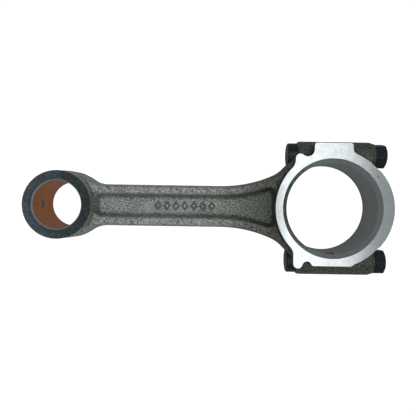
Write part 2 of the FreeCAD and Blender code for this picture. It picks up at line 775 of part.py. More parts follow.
def add_cap_big_end(body):
    """Pad the cap's full-width arch: flat, shoulders, crown and its half of the top pad."""
    sketch = new_sketch(body, "cap_arch", "XY_Plane")
    flat_y, pad_y = -number("bottom_flat_height"), number("top_pad_height")
    flat_x, pad_x = number("cap_flat_half_length"), number("top_pad_half_length")
    shoulder, fillet = number("cap_shoulder_radius"), number("cap_pad_fillet")
    angle = math.radians(number("crown_angle"))
    step_x, step_y = shoulder * math.cos(angle), shoulder * math.sin(angle)
    reach = "(crown_offset * cos(crown_angle)"
    reach += " + sqrt(crown_radius ^ 2 - (crown_offset * sin(crown_angle)) ^ 2))"
    crown_reach = number(reach)
    crown_x, crown_y = crown_reach * math.cos(angle), crown_reach * math.sin(angle)
    foot_x = flat_x + number("cap_flat_run_out")
    foot_y = -math.sqrt(shoulder ** 2 - foot_x ** 2)
    fillet_x = pad_x + fillet
    fillet_y = math.sqrt((shoulder + fillet) ** 2 - fillet_x ** 2)
    share = shoulder / (shoulder + fillet)

    # Anticlockwise from the bottom of the split
    outline = Outline(sketch, (0, flat_y))
    flat = outline.line((flat_x, flat_y))
    run_out = outline.line((foot_x, foot_y))
    low_shoulder = outline.arc((0, 0), (step_x, -step_y), 1)
    outline.line((crown_x, -crown_y))
    crown = outline.arc((number("crown_offset"), 0), (crown_x, crown_y), 1)
    outline.line((step_x, step_y))
    high_shoulder = outline.arc((0, 0), (fillet_x * share, fillet_y * share), 1)
    blend = outline.arc((fillet_x, fillet_y), (pad_x, fillet_y), -1, True)
    pad_wall = outline.line((pad_x, pad_y), True)
    roof = outline.line((0, pad_y))
    split = outline.line((0, flat_y))
    outline.close()

    level(sketch, flat, roof)
    upright(sketch, pad_wall, split)
    place(sketch, flat, START, "0", "-bottom_flat_height")
    constrain(sketch, "DistanceX", (*ORIGIN, flat, END), "cap_flat_half_length")
    constrain(sketch, "DistanceX", (*ORIGIN, run_out, END), "cap_flat_half_length + cap_flat_run_out")
    for arc in (low_shoulder, high_shoulder):
        place(sketch, arc, CENTRE, "0", "0")
        constrain(sketch, "Radius", (arc,), "cap_shoulder_radius")
    step = "cap_shoulder_radius * cos(crown_angle)"
    constrain(sketch, "DistanceX", (*ORIGIN, low_shoulder, END), step)
    constrain(sketch, "DistanceX", (*ORIGIN, high_shoulder, START), step)
    place(sketch, crown, CENTRE, "crown_offset", "0")
    constrain(sketch, "Radius", (crown,), "crown_radius")
    for end in (START, END):
        constrain(sketch, "DistanceX", (*ORIGIN, crown, end), f"{reach} * cos(crown_angle)")
    constrain(sketch, "Radius", (blend,), "cap_pad_fillet")
    constrain(sketch, "DistanceX", (*ORIGIN, pad_wall, END), "top_pad_half_length")
    constrain(sketch, "DistanceY", (*ORIGIN, pad_wall, END), "top_pad_height")
    half = "big_end_width / 2"
    pad(body, sketch, half, half)


def make_bearing_cap():
    """Make the cap: its arch, bolt bosses and nut pads, then its holes."""
    body = new_body("bearing_cap")
    add_cap_big_end(body)
    corner = (number("top_pad_half_length"), number("top_pad_height"))
    dress(body, "Fillet", "pad_corner_radius", lambda edge: stands_at(edge, *corner), CUTS)
    add_bolt_bosses(body, "0", "cap_boss_length")
    end_x, boss = number("cap_boss_length"), number("boss_radius")
    dress(body, "Chamfer", "boss_chamfer", lambda edge: faces_x(edge, end_x, boss), CUTS)
    seats = new_sketch(body, "nut_pads", "YZ_Plane", "cap_boss_length")
    for side in (1, -1):
        circle(seats, f"{side} * bolt_height", "0", "nut_pad_radius")
    pad(body, seats, "nut_pad_height")
    cut_big_end_bore(body)
    drill_bolt_holes(body, along_x=True)
    cut_tang_slot(body, along_x=True)
    mark = new_sketch(body, "punch_mark", "XY_Plane", "big_end_width / 2")
    circle(mark, "punch_mark_reach * cos(punch_mark_angle)",
           "punch_mark_reach * sin(punch_mark_angle)", "punch_mark_radius")
    pocket(body, mark, "punch_mark_radius")
    return body


# ---- Small-end bush -------------------------------------------------------------------

def make_small_end_bush():
    """Turn the bush, press it in the eye's bore and drill its oil hole."""
    body = new_body("small_end_bush")
    sketch = new_sketch(body, "bush_wall", "XZ_Plane")
    end = "small_end_width / 2 - bush_recess"
    mouth = "bush_bore_radius + bush_chamfer"
    wall = f"{end} - bush_chamfer"
    corners = [("bush_bore_radius", f"-({wall})"), (mouth, f"-({end})")]
    corners += [("bush_seat_radius", f"-({end})"), ("bush_seat_radius", end)]
    corners += [(mouth, end), ("bush_bore_radius", wall)]
    polygon(sketch, corners)
    revolve(body, sketch, "V_Axis")
    hole = new_sketch(body, "bush_oil_hole", "YZ_Plane")
    circle(hole, "0", "0", "oil_hole_radius")
    pocket(body, hole, "2 * bush_seat_radius")
    bind(body, "Placement.Base.x", "-centre_distance")
    return body


# ---- Cap bolts and nuts ---------------------------------------------------------------

NUT_SEAT = "cap_boss_length + nut_pad_height"


def make_cap_bolt(label, side):
    """Turn a cap bolt, and mill the flat that keeps its head from turning."""
    body = new_body(label)
    sketch = new_sketch(body, f"{label}_profile", "XY_Plane")
    seat = "-seat_to_split"
    head_end = f"{seat} - bolt_head_height"
    tip = f"{NUT_SEAT} + nut_height - nut_end_above_bolt"
    thread_start = f"{tip} - bolt_thread_length"
    corners = [(head_end, "0"), (tip, "0"), (tip, "bolt_radius - bolt_end_chamfer")]
    corners += [(f"{tip} - bolt_end_chamfer", "bolt_radius"), (thread_start, "bolt_radius")]
    corners += [(thread_start, "bolt_waist_radius"), ("bolt_pilot_length / 2", "bolt_waist_radius")]
    corners += [("bolt_pilot_length / 2", "bolt_radius"), ("-bolt_pilot_length / 2", "bolt_radius")]
    corners += [("-bolt_pilot_length / 2", "bolt_waist_radius"), (seat, "bolt_waist_radius")]
    corners += [(seat, "bolt_head_radius")]
    corners += [(f"{head_end} + bolt_head_chamfer", "bolt_head_radius")]
    corners += [(head_end, "bolt_head_radius - bolt_head_chamfer")]
    polygon(sketch, corners)
    revolve(body, sketch, "H_Axis")
    flat = new_sketch(body, f"{label}_flat", "YZ_Plane", seat)
    beyond = "bolt_head_radius * 2"
    polygon(flat, [(f"-({beyond})", f"-({beyond})"), ("-bolt_head_flat", f"-({beyond})"),
                   ("-bolt_head_flat", beyond), (f"-({beyond})", beyond)])
    pocket(body, flat, "bolt_head_height * 2")
    turn_over = 0 if side > 0 else 180
    body.Placement.Rotation = FreeCAD.Rotation(FreeCAD.Vector(1, 0, 0), turn_over)
    bind(body, "Placement.Base.y", f"{side} * bolt_height")
    return body


def make_cap_nut(label, side, turn_size):
    """Make a cap nut, turned on its bolt so that one corner leans from +Z by an angle."""
    body = new_body(label)
    sketch = new_sketch(body, f"{label}_hexagon", "YZ_Plane")
    corner = "nut_half_width / cos(30)"
    angles = [90 + 60 * index for index in range(6)]
    polygon(sketch, [(f"{corner} * cos({angle})", f"{corner} * sin({angle})") for angle in angles])
    pad(body, sketch, "nut_height")
    bore = new_sketch(body, f"{label}_bore", "YZ_Plane", "nut_height")
    circle(bore, "0", "0", "bolt_radius + nut_bore_clearance")
    pocket(body, bore, "nut_height * 2")
    radius = number("bolt_radius + nut_bore_clearance")

    end_x = number("nut_height")

    def is_mouth(edge):
        return faces_x(edge, 0, radius) or faces_x(edge, end_x, radius)

    dress(body, "Chamfer", "nut_bore_chamfer", is_mouth, CUTS)
    corners = new_sketch(body, f"{label}_corners", "XY_Plane")
    rise = "nut_face_radius * tan(nut_chamfer_angle)"
    polygon(corners, [("nut_height", "nut_face_radius"), ("nut_height", "nut_face_radius * 2"),
                      (f"nut_height - {rise}", "nut_face_radius * 2")])
    groove(body, corners, "H_Axis")
    body.Placement.Rotation = FreeCAD.Rotation(FreeCAD.Vector(1, 0, 0), number(turn_size))
    bind(body, "Placement.Base.x", NUT_SEAT)
    bind(body, "Placement.Base.y", f"{side} * bolt_height")
    return body


# ---- The assembly ---------------------------------------------------------------------

pieces = [
    make_rod_forging(),
    make_bearing_cap(),
    make_small_end_bush(),
    make_cap_bolt("cap_bolt_upper", 1),
    make_cap_bolt("cap_bolt_lower", -1),
    make_cap_nut("cap_nut_upper", 1, "top_nut_turn"),
    make_cap_nut("cap_nut_lower", -1, "bottom_nut_turn"),
]
doc.recompute()

for thing in doc.Objects:
    if "Invalid" in thing.State or "Error" in thing.State:
        raise RuntimeError(f"{thing.Name} is {thing.State}")
for piece in pieces:
    if piece.Shape.isNull() or not piece.Shape.isValid() or len(piece.Shape.Solids) != 1:
        raise RuntimeError(f"{piece.Label} isn't one valid solid")

os.makedirs("parts", exist_ok=True)
for piece in pieces:
    piece.Shape.exportStep(f"parts/{piece.Label}.step")
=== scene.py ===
"""Finishes for a forged connecting rod: soft forgings, cut threads, steels, bronze and studio."""

import json
import math

import bmesh
import bpy
import numpy as np
from bpy.props import FloatProperty, FloatVectorProperty, IntProperty, PointerProperty
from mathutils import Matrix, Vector


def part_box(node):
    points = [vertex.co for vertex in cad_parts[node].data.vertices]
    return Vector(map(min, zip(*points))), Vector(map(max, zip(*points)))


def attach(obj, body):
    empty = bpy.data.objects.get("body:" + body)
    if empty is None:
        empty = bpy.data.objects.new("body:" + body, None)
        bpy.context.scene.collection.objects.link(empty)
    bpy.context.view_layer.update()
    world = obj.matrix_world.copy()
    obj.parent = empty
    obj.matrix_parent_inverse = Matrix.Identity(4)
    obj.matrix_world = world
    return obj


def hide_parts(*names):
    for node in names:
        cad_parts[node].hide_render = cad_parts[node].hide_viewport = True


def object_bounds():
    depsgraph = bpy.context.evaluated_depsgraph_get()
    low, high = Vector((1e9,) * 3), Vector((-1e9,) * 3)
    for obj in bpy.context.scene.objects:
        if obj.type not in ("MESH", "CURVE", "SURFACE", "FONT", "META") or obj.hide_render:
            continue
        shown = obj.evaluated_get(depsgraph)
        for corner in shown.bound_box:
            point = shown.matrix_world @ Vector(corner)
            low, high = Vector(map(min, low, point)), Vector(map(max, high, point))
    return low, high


bl_info = {
    "name": "Connecting Rod Finish",
    "version": (1, 0, 0),
    "blender": (4, 5, 0),
    "location": "View3D > Sidebar > Connecting Rod",
    "description": "Softens the forgings, cuts the threads and gives each piece its finish",
    "category": "Object",
}

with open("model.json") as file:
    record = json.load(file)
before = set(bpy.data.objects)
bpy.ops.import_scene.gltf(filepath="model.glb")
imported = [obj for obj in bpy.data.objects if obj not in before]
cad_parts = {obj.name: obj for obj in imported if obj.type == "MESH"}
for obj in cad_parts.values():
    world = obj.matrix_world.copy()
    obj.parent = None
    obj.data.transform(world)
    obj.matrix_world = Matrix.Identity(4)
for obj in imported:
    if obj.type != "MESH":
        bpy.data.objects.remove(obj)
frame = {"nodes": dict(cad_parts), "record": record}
CAD_LOW, CAD_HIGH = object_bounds()
MM = 0.001
BORES = {mount["name"]: mount for mount in frame["record"]["mounts"]}
BIG_BORE = BORES["big_end_bore"]["dims"]["r_mm"] * MM
EYE = Vector(BORES["small_end_bore"]["pos_m"])
HALF_WIDTH = CAD_HIGH.z
BOLT_LOW, BOLT_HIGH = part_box("cap_bolt_upper")
BOLT_HEIGHT = abs(frame["record"]["behaviour"]["joints"][1]["pos_m"][1])
NUT_LOW, NUT_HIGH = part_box("cap_nut_lower")
HEAD_RADIUS = BOLT_HIGH.z
NUT_HALF_WIDTH = (NUT_HIGH.y - NUT_LOW.y) / 2
NEAR = 0.02 * MM
PLUG_REACH = 3.4 * MM
SPLIT_OVERLAP = 3.5 * MM
BOLT_PLUG_WALL = 0.85 * MM
FAR = 0.1  # clear of every piece of the big end


# ---- Sizes and colours ----------------------------------------------------------------

def length(name, description, default):
    """Return a length property in metres."""
    return FloatProperty(name=name, description=description, default=default,
                         min=0.0, subtype="DISTANCE", unit="LENGTH")


def colour(name, description, default):
    """Return a colour property."""
    return FloatVectorProperty(name=name, description=description, default=default,
                               min=0.0, max=1.0, size=3, subtype="COLOR")


class ForgingSizes(bpy.types.PropertyGroup):
    """Sizes of the forgings' soft skin and of the surfaces that are machined into it."""

    skin_step: length("Skin step", "Spacing of the forged skin's points", 0.55 * MM)
    blend_passes: IntProperty(name="Blend passes",
                              description="How far the die's blends round off",
                              default=9, min=0, max=200)
    chamfer_width: length("Bore chamfer width", "Width of the big bore's chamfer", 2.5 * MM)
    chamfer_depth: length("Bore chamfer depth", "Depth of the big bore's chamfer", 2.5 * MM)
    bush_seat: length("Bush seat radius", "Radius of the eye's bore for its bush", 16.3 * MM)
    eye_chamfer: length("Eye chamfer", "Chamfer at the mouths of the eye's bore", 0.15 * MM)
    oil_hole: length("Oil hole radius", "Radius of the hole in the end of the eye", 2.7 * MM)
    bolt_hole: length("Bolt hole radius", "Radius of the holes for the cap bolts", 4.55 * MM)
    seat_to_split: length("Head seat", "Distance of the heads' seats from the split", 20.0 * MM)
    seat_gap: length("Seat clearance", "Clearance round a bolt head in its seat", 0.5 * MM)
    nut_pad: length("Nut pad radius", "Radius of the faced pad under a nut", 7.9 * MM)
    proud: length("Proud faces", "How far the forged faces stand proud before facing", 3.5 * MM)
    tang_depth: length("Tang slot depth", "Depth of a bearing shell's tang slot", 1.2 * MM)
    tang_near: length("Tang slot, near side", "From the front face to the slot", 5.0 * MM)
    tang_far: length("Tang slot, far side", "From the front face to the slot's far side", 9.2 * MM)
    tang_along: length("Tang slot length", "Length of a tang slot along the rod", 2.6 * MM)
    web_floor: length("Web floor", "Height of the web's floor above mid-width", 3.5 * MM)
    mark_height: length("Mark height", "Height of the raised lozenges", 0.45 * MM)
    mark_root: length("Mark root", "How far the lozenges reach into the web", 0.2 * MM)
    mark_along: length("Mark half length", "Half a lozenge's length along the rod", 2.1 * MM)
    mark_across: length("Mark half width", "Half a lozenge's width across the rod", 2.7 * MM)
    mark_pitch: length("Mark pitch", "Spacing of the raised lozenges", 5.6 * MM)
    mark_middle: length("Mark middle", "Distance of the row's middle from the big bore", 89.5 * MM)
    mark_count: IntProperty(name="Marks", description="Number of raised lozenges",
                            default=7, min=1)


class FastenerSizes(bpy.types.PropertyGroup):
    """Sizes of the cap bolts and nuts."""

    bolt_radius: length("Bolt radius", "Radius over the thread", 4.5 * MM)
    waist_radius: length("Waist radius", "Radius of the bolt's waist", 3.9 * MM)
    pilot_length: length("Pilot length", "Length of the fitted middle", 14.0 * MM)
    thread_length: length("Thread length", "Length of the bolt's thread", 15.0 * MM)
    pitch: length("Pitch", "Thread pitch", 1.0 * MM)
    thread_depth: length("Thread depth", "Depth of the thread", 0.55 * MM)
    thread_gap: length("Thread gap", "Clearance between nut and bolt threads", 0.05 * MM)
    head_height: length("Head height", "Height of the bolt head", 6.1 * MM)
    head_flat: length("Head flat", "Distance of the head's flat from the axis", 6.3 * MM)
    face_radius: length("Nut face radius", "Radius of the nut's chamfered face", 6.8 * MM)
    upper_turn: FloatProperty(name="Upper nut turn", description="How far the upper nut is turned",
                              default=math.radians(14.7), subtype="ANGLE", unit="ROTATION")


class FinishColours(bpy.types.PropertyGroup):
    """Colours of the finishes."""

    scale_light: colour("Blasted steel", "Bare shot-blasted steel", (0.73, 0.79, 0.735))
    scale_dark: colour("Forging scale", "Dark scale between the grains", (0.075, 0.077, 0.065))
    # Darker, browner tone towards the big end.
    big_end_tone: colour("Big end tone", "Darker, browner tone near the big end", (0.30, 0.30, 0.265))
    ground: colour("Ground steel", "Ground faces of the big end", (0.68, 0.72, 0.72))
    eye_face: colour("Eye face", "Ground faces of the eye", (0.082, 0.104, 0.122))
    bored: colour("Bored steel", "Wall of the big bore", (0.30, 0.325, 0.32))
    bronze: colour("Bronze", "Lining of the small-end bush", (0.74, 0.36, 0.14))
    bronze_dark: colour("Dull bronze", "Darker bands of the lining", (0.46, 0.20, 0.075))
    oxide: colour("Black oxide", "Bolts and nuts", (0.010, 0.013, 0.014))


class StudioSettings(bpy.types.PropertyGroup):
    """Camera and lights."""

    camera_height: length("Camera height", "Height of the camera above the front face", 250.0 * MM)
    camera_x: FloatProperty(name="Camera X", description="Where the camera stands along the rod",
                            default=-67.0 * MM, subtype="DISTANCE", unit="LENGTH")
    camera_y: FloatProperty(name="Camera Y", description="Where the camera stands across the rod",
                            default=4.6 * MM, subtype="DISTANCE", unit="LENGTH")
    roll: FloatProperty(name="Roll", description="Turn of the camera about its own axis",
                        default=math.radians(0.893), subtype="ANGLE", unit="ROTATION")
    lens: FloatProperty(name="Focal length", description="Focal length in millimetres",
                        default=36.365, min=1.0)
    shift_x: FloatProperty(name="Shift X", description="Sideways shift of the lens",
                           default=-0.03101, precision=5)
    shift_y: FloatProperty(name="Shift Y", description="Upward shift of the lens",
                           default=-0.02115, precision=5)
    overhead: FloatProperty(name="Overhead", description="Radiance of the overhead softbox",
                            default=1.32, min=0.0)
    strip: FloatProperty(name="Strip", description="Radiance of the softbox over the big end",
                         default=0.5, min=0.0)
    fill: FloatProperty(name="Fill", description="Radiance of the fill beyond the small end",
                        default=0.6, min=0.0)


# ---- Meshes ---------------------------------------------------------------------------

def new_object(name, mesh):
    """Link a new object with a mesh."""
    thing = bpy.data.objects.new(name, mesh)
    bpy.context.scene.collection.objects.link(thing)
    return thing


def mesh_from(name, points, faces):
    """Return a mesh of points and faces with its normals turned outwards."""
    mesh = bpy.data.meshes.new(name)
    mesh.from_pydata([tuple(point) for point in points], [], faces)
    work = bmesh.new()
    work.from_mesh(mesh)
    bmesh.ops.recalc_face_normals(work, faces=work.faces)
    work.to_mesh(mesh)
    work.free()
    return mesh


def lofted(name, rings, closed=False):
    """Skin a list of rings of points, capping the ends unless the loft closes on itself."""
    count = len(rings[0])
    points = np.concatenate(rings)
    total = len(rings)
    faces = []
    for row in range(total if closed else total - 1):
        first, second = row * count, (row + 1) % total * count
        for step in range(count):
            after = (step + 1) % count
            faces.append((first + step, first + after, second + after, second + step))
    if not closed:
        faces.append(tuple(range(count))[::-1])
        faces.append(tuple(range((total - 1) * count, total * count)))
    return mesh_from(name, points, faces)


def turned(name, profile, centre, axis, segments=192):
    """Turn a profile of (distance along the axis, radius) about an axis, Z or X."""
    angles = np.linspace(0, 2 * np.pi, segments, endpoint=False)
    rings = []
    for along, radius in profile:
        cos, sin, flat = radius * np.cos(angles), radius * np.sin(angles), np.full(segments, along)
        ring = np.stack((cos, sin, flat) if axis == "Z" else (flat, cos, sin), axis=1)
        rings.append(ring + np.array(centre))
    return lofted(name, rings)


def block(name, low, high):
    """Return a box between two corners."""
    work = bmesh.new()
    bmesh.ops.create_cube(work, size=1.0)
    low, high = Vector(low), Vector(high)
    for corner in work.verts:
        corner.co = [a + (b - a) * (c + 0.5) for a, b, c in zip(low, high, corner.co)]
    mesh = bpy.data.meshes.new(name)
    work.to_mesh(mesh)
    work.free()
    return mesh


def evaluated(thing):
    """Return the mesh that an object's modifiers give."""
    graph = bpy.context.evaluated_depsgraph_get()
    graph.update()
    return bpy.data.meshes.new_from_object(thing.evaluated_get(graph))


def combine(mesh, tools, operation):
    """Join or cut a mesh with tool meshes, one after another."""
    for tool_mesh in tools:
        base, tool = new_object("base", mesh), new_object("tool", tool_mesh)
        change = base.modifiers.new("combine", "BOOLEAN")
        change.operation = operation
        change.object = tool
        change.solver = "MANIFOLD"
        result = evaluated(base)
        bpy.data.objects.remove(base)
        bpy.data.objects.remove(tool)
        if not result.polygons:
            raise RuntimeError(f"{tool_mesh.name} left nothing of {mesh.name}")
        mesh = result
    return mesh


def points_of(mesh):
    """Return a mesh's points as an array."""
    points = np.empty(len(mesh.vertices) * 3)
    mesh.vertices.foreach_get("co", points)
    return points.reshape(-1, 3)


def set_points(mesh, points):
    """Move a mesh's points."""
    mesh.vertices.foreach_set("co", points.ravel())
    mesh.update()


def relaxed(mesh, passes):
    """Soften a mesh by moving each point halfway to its neighbours' middle, pass by pass."""
    edges = np.empty(len(mesh.edges) * 2, dtype=np.int64)
    mesh.edges.foreach_get("vertices", edges)
    first, second = edges.reshape(-1, 2).T
    points = points_of(mesh)
    count = np.bincount(first, minlength=len(points)) + np.bincount(second, minlength=len(points))
    for _ in range(passes):
        total = np.empty_like(points)
        for axis in range(3):
            total[:, axis] = np.bincount(first, points[second, axis], len(points))
            total[:, axis] += np.bincount(second, points[first, axis], len(points))
        points += 0.5 * (total / count[:, None] - points)
    set_points(mesh, points)


def forged_skin(node, split_side, plugs, sizes):
    """Return a forging as it left the die: bores filled, faces left proud, blends soft."""
    mesh = frame["nodes"][node].data.copy()
    points = points_of(mesh)
    face = np.abs(points[:, 2]) > HALF_WIDTH - 0.05 * MM
    points[face, 2] = np.sign(points[face, 2]) * (HALF_WIDTH + sizes.proud)
    split = np.abs(points[:, 0]) < 0.05 * MM
    points[split, 0] = split_side * 4.0 * MM
    raised = (points[:, 2] > sizes.web_floor + 0.01 * MM) & (points[:, 2] < 4.0 * MM)
    raised &= (np.abs(points[:, 1]) < 2.8 * MM) & (points[:, 0] < -40.0 * MM)
    points[raised, 2] = sizes.web_floor
    set_points(mesh, points)
    work = bmesh.new()
    work.from_mesh(mesh)
    for plug in plugs:
        work.from_mesh(plug)
    bmesh.ops.remove_doubles(work, verts=work.verts, dist=1e-6)
    work.to_mesh(mesh)
    work.free()
    blank = new_object(f"{node}_blank", mesh)
    skin = blank.modifiers.new("skin", "REMESH")
    skin.mode = "VOXEL"
    skin.voxel_size = sizes.skin_step
    result = evaluated(blank)
    bpy.data.objects.remove(blank)
    relaxed(result, sizes.blend_passes)
    return result


def big_bore_tools(sizes):
    """Return the tools that face the big end and bore and chamfer it."""
    beyond = 40.0 * MM
    wall = HALF_WIDTH - sizes.chamfer_depth
    mouth = BIG_BORE + sizes.chamfer_width
    profile = [(-beyond, mouth), (-HALF_WIDTH, mouth), (-wall, BIG_BORE)]
    profile += [(wall, BIG_BORE), (HALF_WIDTH, mouth), (beyond, mouth)]
    return [
        block("front facing", (-0.3, -0.1, HALF_WIDTH), (0.1, 0.1, beyond)),
        block("back facing", (-0.3, -0.1, -beyond), (0.1, 0.1, -HALF_WIDTH)),
        turned("big bore", profile, (0, 0, 0), "Z", 256),
    ]


def bolt_hole_tools(low, high, radius):
    """Return one cylinder along X for each bolt."""
    profile = [(low, radius), (high, radius)]
    return [turned("bolt hole", profile, (0, side * BOLT_HEIGHT, 0), "X", 64)
            for side in (1, -1)]


def tang_slot_tool(low, high, sizes):
    """Return the cutter for a bearing shell's tang at the bottom of the bore."""
    reach = BIG_BORE + sizes.tang_depth
    return block("tang slot", (low, -reach, HALF_WIDTH - sizes.tang_far),
                 (high, -BIG_BORE + 2.0 * MM, HALF_WIDTH - sizes.tang_near))


def bore_plug(sizes, low, high):
    """Return the plug that fills the big bore, less its part between two places along the rod."""
    reach, radius = HALF_WIDTH + PLUG_REACH, BIG_BORE + sizes.chamfer_width + 0.1 * MM
    plug = turned("bore plug", [(-reach, radius), (reach, radius)], (0, 0, 0), "Z")
    return combine(plug, [block("far half", (low, -FAR, -FAR), (high, FAR, FAR))], "DIFFERENCE")


def head_seat_tools(sizes, fasteners):
    """Return the D-shaped cutters for the bolt heads' seats."""
    radius = HEAD_RADIUS + sizes.seat_gap
    flat = fasteners.head_flat + 0.15 * MM
    angles = np.linspace(0, 2 * np.pi, 96, endpoint=False)
    tools = []
    for side in (1, -1):
        across = np.maximum(radius * np.cos(angles), -flat) * side + side * BOLT_HEIGHT
        rings = [np.stack((np.full(96, x), across, radius * np.sin(angles)), axis=1)
                 for x in (-sizes.seat_to_split, -70.0 * MM)]
        tools.append(lofted("head seat", rings))
    return tools


def lozenges(sizes):
    """Return the row of raised open lozenges on the front of the web."""
    points, faces = [], []
    levels = [(1.3, 0.0), (0.96, 1.0), (0.80, 1.0), (0.40, 0.0)]
    for index in range(sizes.mark_count):
        middle = (index - (sizes.mark_count - 1) / 2) * sizes.mark_pitch - sizes.mark_middle
        base = len(points)
        for share, height in levels:
            z = sizes.web_floor - sizes.mark_root + height * (sizes.mark_height + sizes.mark_root)
            for x, y in ((1, 0), (0, 1), (-1, 0), (0, -1)):
                points.append((middle + x * sizes.mark_along * share,
                               y * sizes.mark_across * share, z))
        for ring in range(4):
            for step in range(4):
                after = (step + 1) % 4
                low, high = base + ring * 4, base + (ring + 1) % 4 * 4
                faces.append((low + step, low + after, high + after, high + step))
    return mesh_from("lozenges", points, faces)


def merged(name, meshes):
    """Put several meshes in one, keeping each face's material."""
    work = bmesh.new()
    for mesh in meshes:
        work.from_mesh(mesh)
    result = bpy.data.meshes.new(name)
    work.to_mesh(result)
    work.free()
    return result


def sharpen(mesh, angle):
    """Shade a mesh smooth, with edges that turn by more than an angle left sharp."""
    work = bmesh.new()
    work.from_mesh(mesh)
    for face in work.faces:
        face.smooth = True
    for edge in work.edges:
        edge.smooth = len(edge.link_faces) == 2 and edge.calc_face_angle(0.0) < angle
    work.to_mesh(mesh)
    work.free()


FINISHES = ("blasted_forging", "ground_face", "eye_face", "bored_wall", "bore_chamfer",
            "drilled_steel", "forging_scale")
FORGED, GROUND, EYE_FACE, BORED, CHAMFERED, DRILLED, SCALE = range(len(FINISHES))


def choose_finish(centre, normal, sizes):
    """Return the index of the finish that a face of a forging has by where it lies."""
    from_bore = math.hypot(centre.x, centre.y)
    from_eye = math.hypot(centre.x - EYE.x, centre.y)
    from_bolt = math.hypot(abs(centre.y) - BOLT_HEIGHT, centre.z)
    at_big_end = centre.x > EYE.x / 2
    from_face = HALF_WIDTH - abs(centre.z)
    lift = centre.z - sizes.web_floor
    in_row = abs(centre.y) < 3.0 * MM and abs(centre.x + sizes.mark_middle) < 20.0 * MM
    if in_row and -sizes.mark_root < lift < sizes.mark_height - NEAR and 0.2 < normal.z < 0.9:
        return SCALE
    if abs(normal.z) > 0.999 and from_face < NEAR:
        return GROUND if at_big_end else EYE_FACE
    if from_bore < BIG_BORE + 1.5 * NEAR and at_big_end:
        return BORED
    in_chamfer = from_bore < BIG_BORE + sizes.chamfer_width + NEAR
    if in_chamfer and from_face < sizes.chamfer_depth + NEAR:
        return CHAMFERED
    if from_eye < sizes.bush_seat + 0.45 * MM:
        return EYE_FACE
    if abs(centre.x) < NEAR / 2 and abs(normal.x) > 0.999:
        return DRILLED
    if from_bolt < sizes.bolt_hole + 0.05 * MM and abs(normal.x) < 0.5:
        return DRILLED
    behind_seat = centre.x < -sizes.seat_to_split
    seat_wall = abs(from_bolt - HEAD_RADIUS - sizes.seat_gap) < NEAR
    if behind_seat and seat_wall and abs(normal.x) < 0.05:
        return DRILLED
    at_a_seat = centre.x < 0.1 * MM - sizes.seat_to_split or centre.x > NUT_LOW.x - 1.3 * MM
    if abs(normal.x) > 0.999 and from_bolt < sizes.nut_pad + 0.2 * MM and at_a_seat:
        return DRILLED
    return FORGED


def finish_forging(node, body, mesh, sizes):
    """Give a forging's faces their finishes and put it in the place of its node."""
    mesh.materials.clear()
    for name in FINISHES:
        mesh.materials.append(bpy.data.materials[name])
    for face in mesh.polygons:
        face.material_index = choose_finish(face.center, face.normal, sizes)
    sharpen(mesh, math.radians(28))
    piece = new_object(f"{node}_skin", mesh)
    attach(piece, body)
    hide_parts(node)
    return piece


# ---- Threads --------------------------------------------------------------------------

SEGMENTS = 72
ANGLES = np.linspace(0, 2 * np.pi, SEGMENTS, endpoint=False)


def thread_wave(x, pitch):
    """Return a right-hand thread's height, 0 to 1, round one turn at a place along X."""
    share = (x / pitch - ANGLES / (2 * np.pi)) % 1.0
    return np.clip(1.6 * (1 - np.abs(2 * share - 1)) - 0.3, 0.0, 1.0)


def ring_at(x, radius, side):
    """Return a ring of points about a bolt's axis."""
    x, radius = np.broadcast_to(x, SEGMENTS), np.broadcast_to(radius, SEGMENTS)
    across = radius * np.cos(ANGLES) + side * BOLT_HEIGHT
    return np.stack((x, across, radius * np.sin(ANGLES)), axis=1)


def bolt_mesh(name, side, sizes):
    """Return a cap bolt with its domed head, flat, waist, fitted middle and thread."""
    start, tip = BOLT_LOW.x, BOLT_HIGH.x
    seat = start + sizes.head_height
    rings = []

    def head(x, radius):
        ring = ring_at(x, radius, 0)
        ring[:, 1] = np.maximum(ring[:, 1] * side, -sizes.head_flat) * side + side * BOLT_HEIGHT
        rings.append(ring)

    for share in (0.02, 0.3, 0.6, 0.8, 0.88):
        head(start + 0.35 * MM * share ** 2, HEAD_RADIUS * share)
    head(start + 0.75 * MM, HEAD_RADIUS * 0.975)
    head(start + 1.15 * MM, HEAD_RADIUS)
    head(seat - 0.15 * MM, HEAD_RADIUS)
    head(seat, HEAD_RADIUS - 0.15 * MM)
    waist, full, pilot = sizes.waist_radius, sizes.bolt_radius, sizes.pilot_length / 2
    thread_start = tip - sizes.thread_length
    for x, radius in ((seat, waist + 0.5 * MM), (seat + 0.5 * MM, waist),
                      (-pilot - 0.6 * MM, waist), (-pilot, full), (pilot, full),
                      (pilot + 0.6 * MM, waist), (thread_start - 0.6 * MM, waist)):
        rings.append(ring_at(x, radius, side))
    for x in np.arange(thread_start, tip - 0.05 * MM, sizes.pitch / 9):
        near_end = min(1.0, (tip - x) / (0.9 * MM))
        near_start = min(1.0, (x - thread_start) / (1.2 * MM))
        top = full - 0.8 * MM * (1 - near_end)
        root = min(full - sizes.thread_depth, top)
        radius = root + (top - root) * thread_wave(x, sizes.pitch) * near_start
        rings.append(ring_at(x, radius, side))
    rings.append(ring_at(tip, full - 0.9 * MM, side))
    return lofted(name, rings)


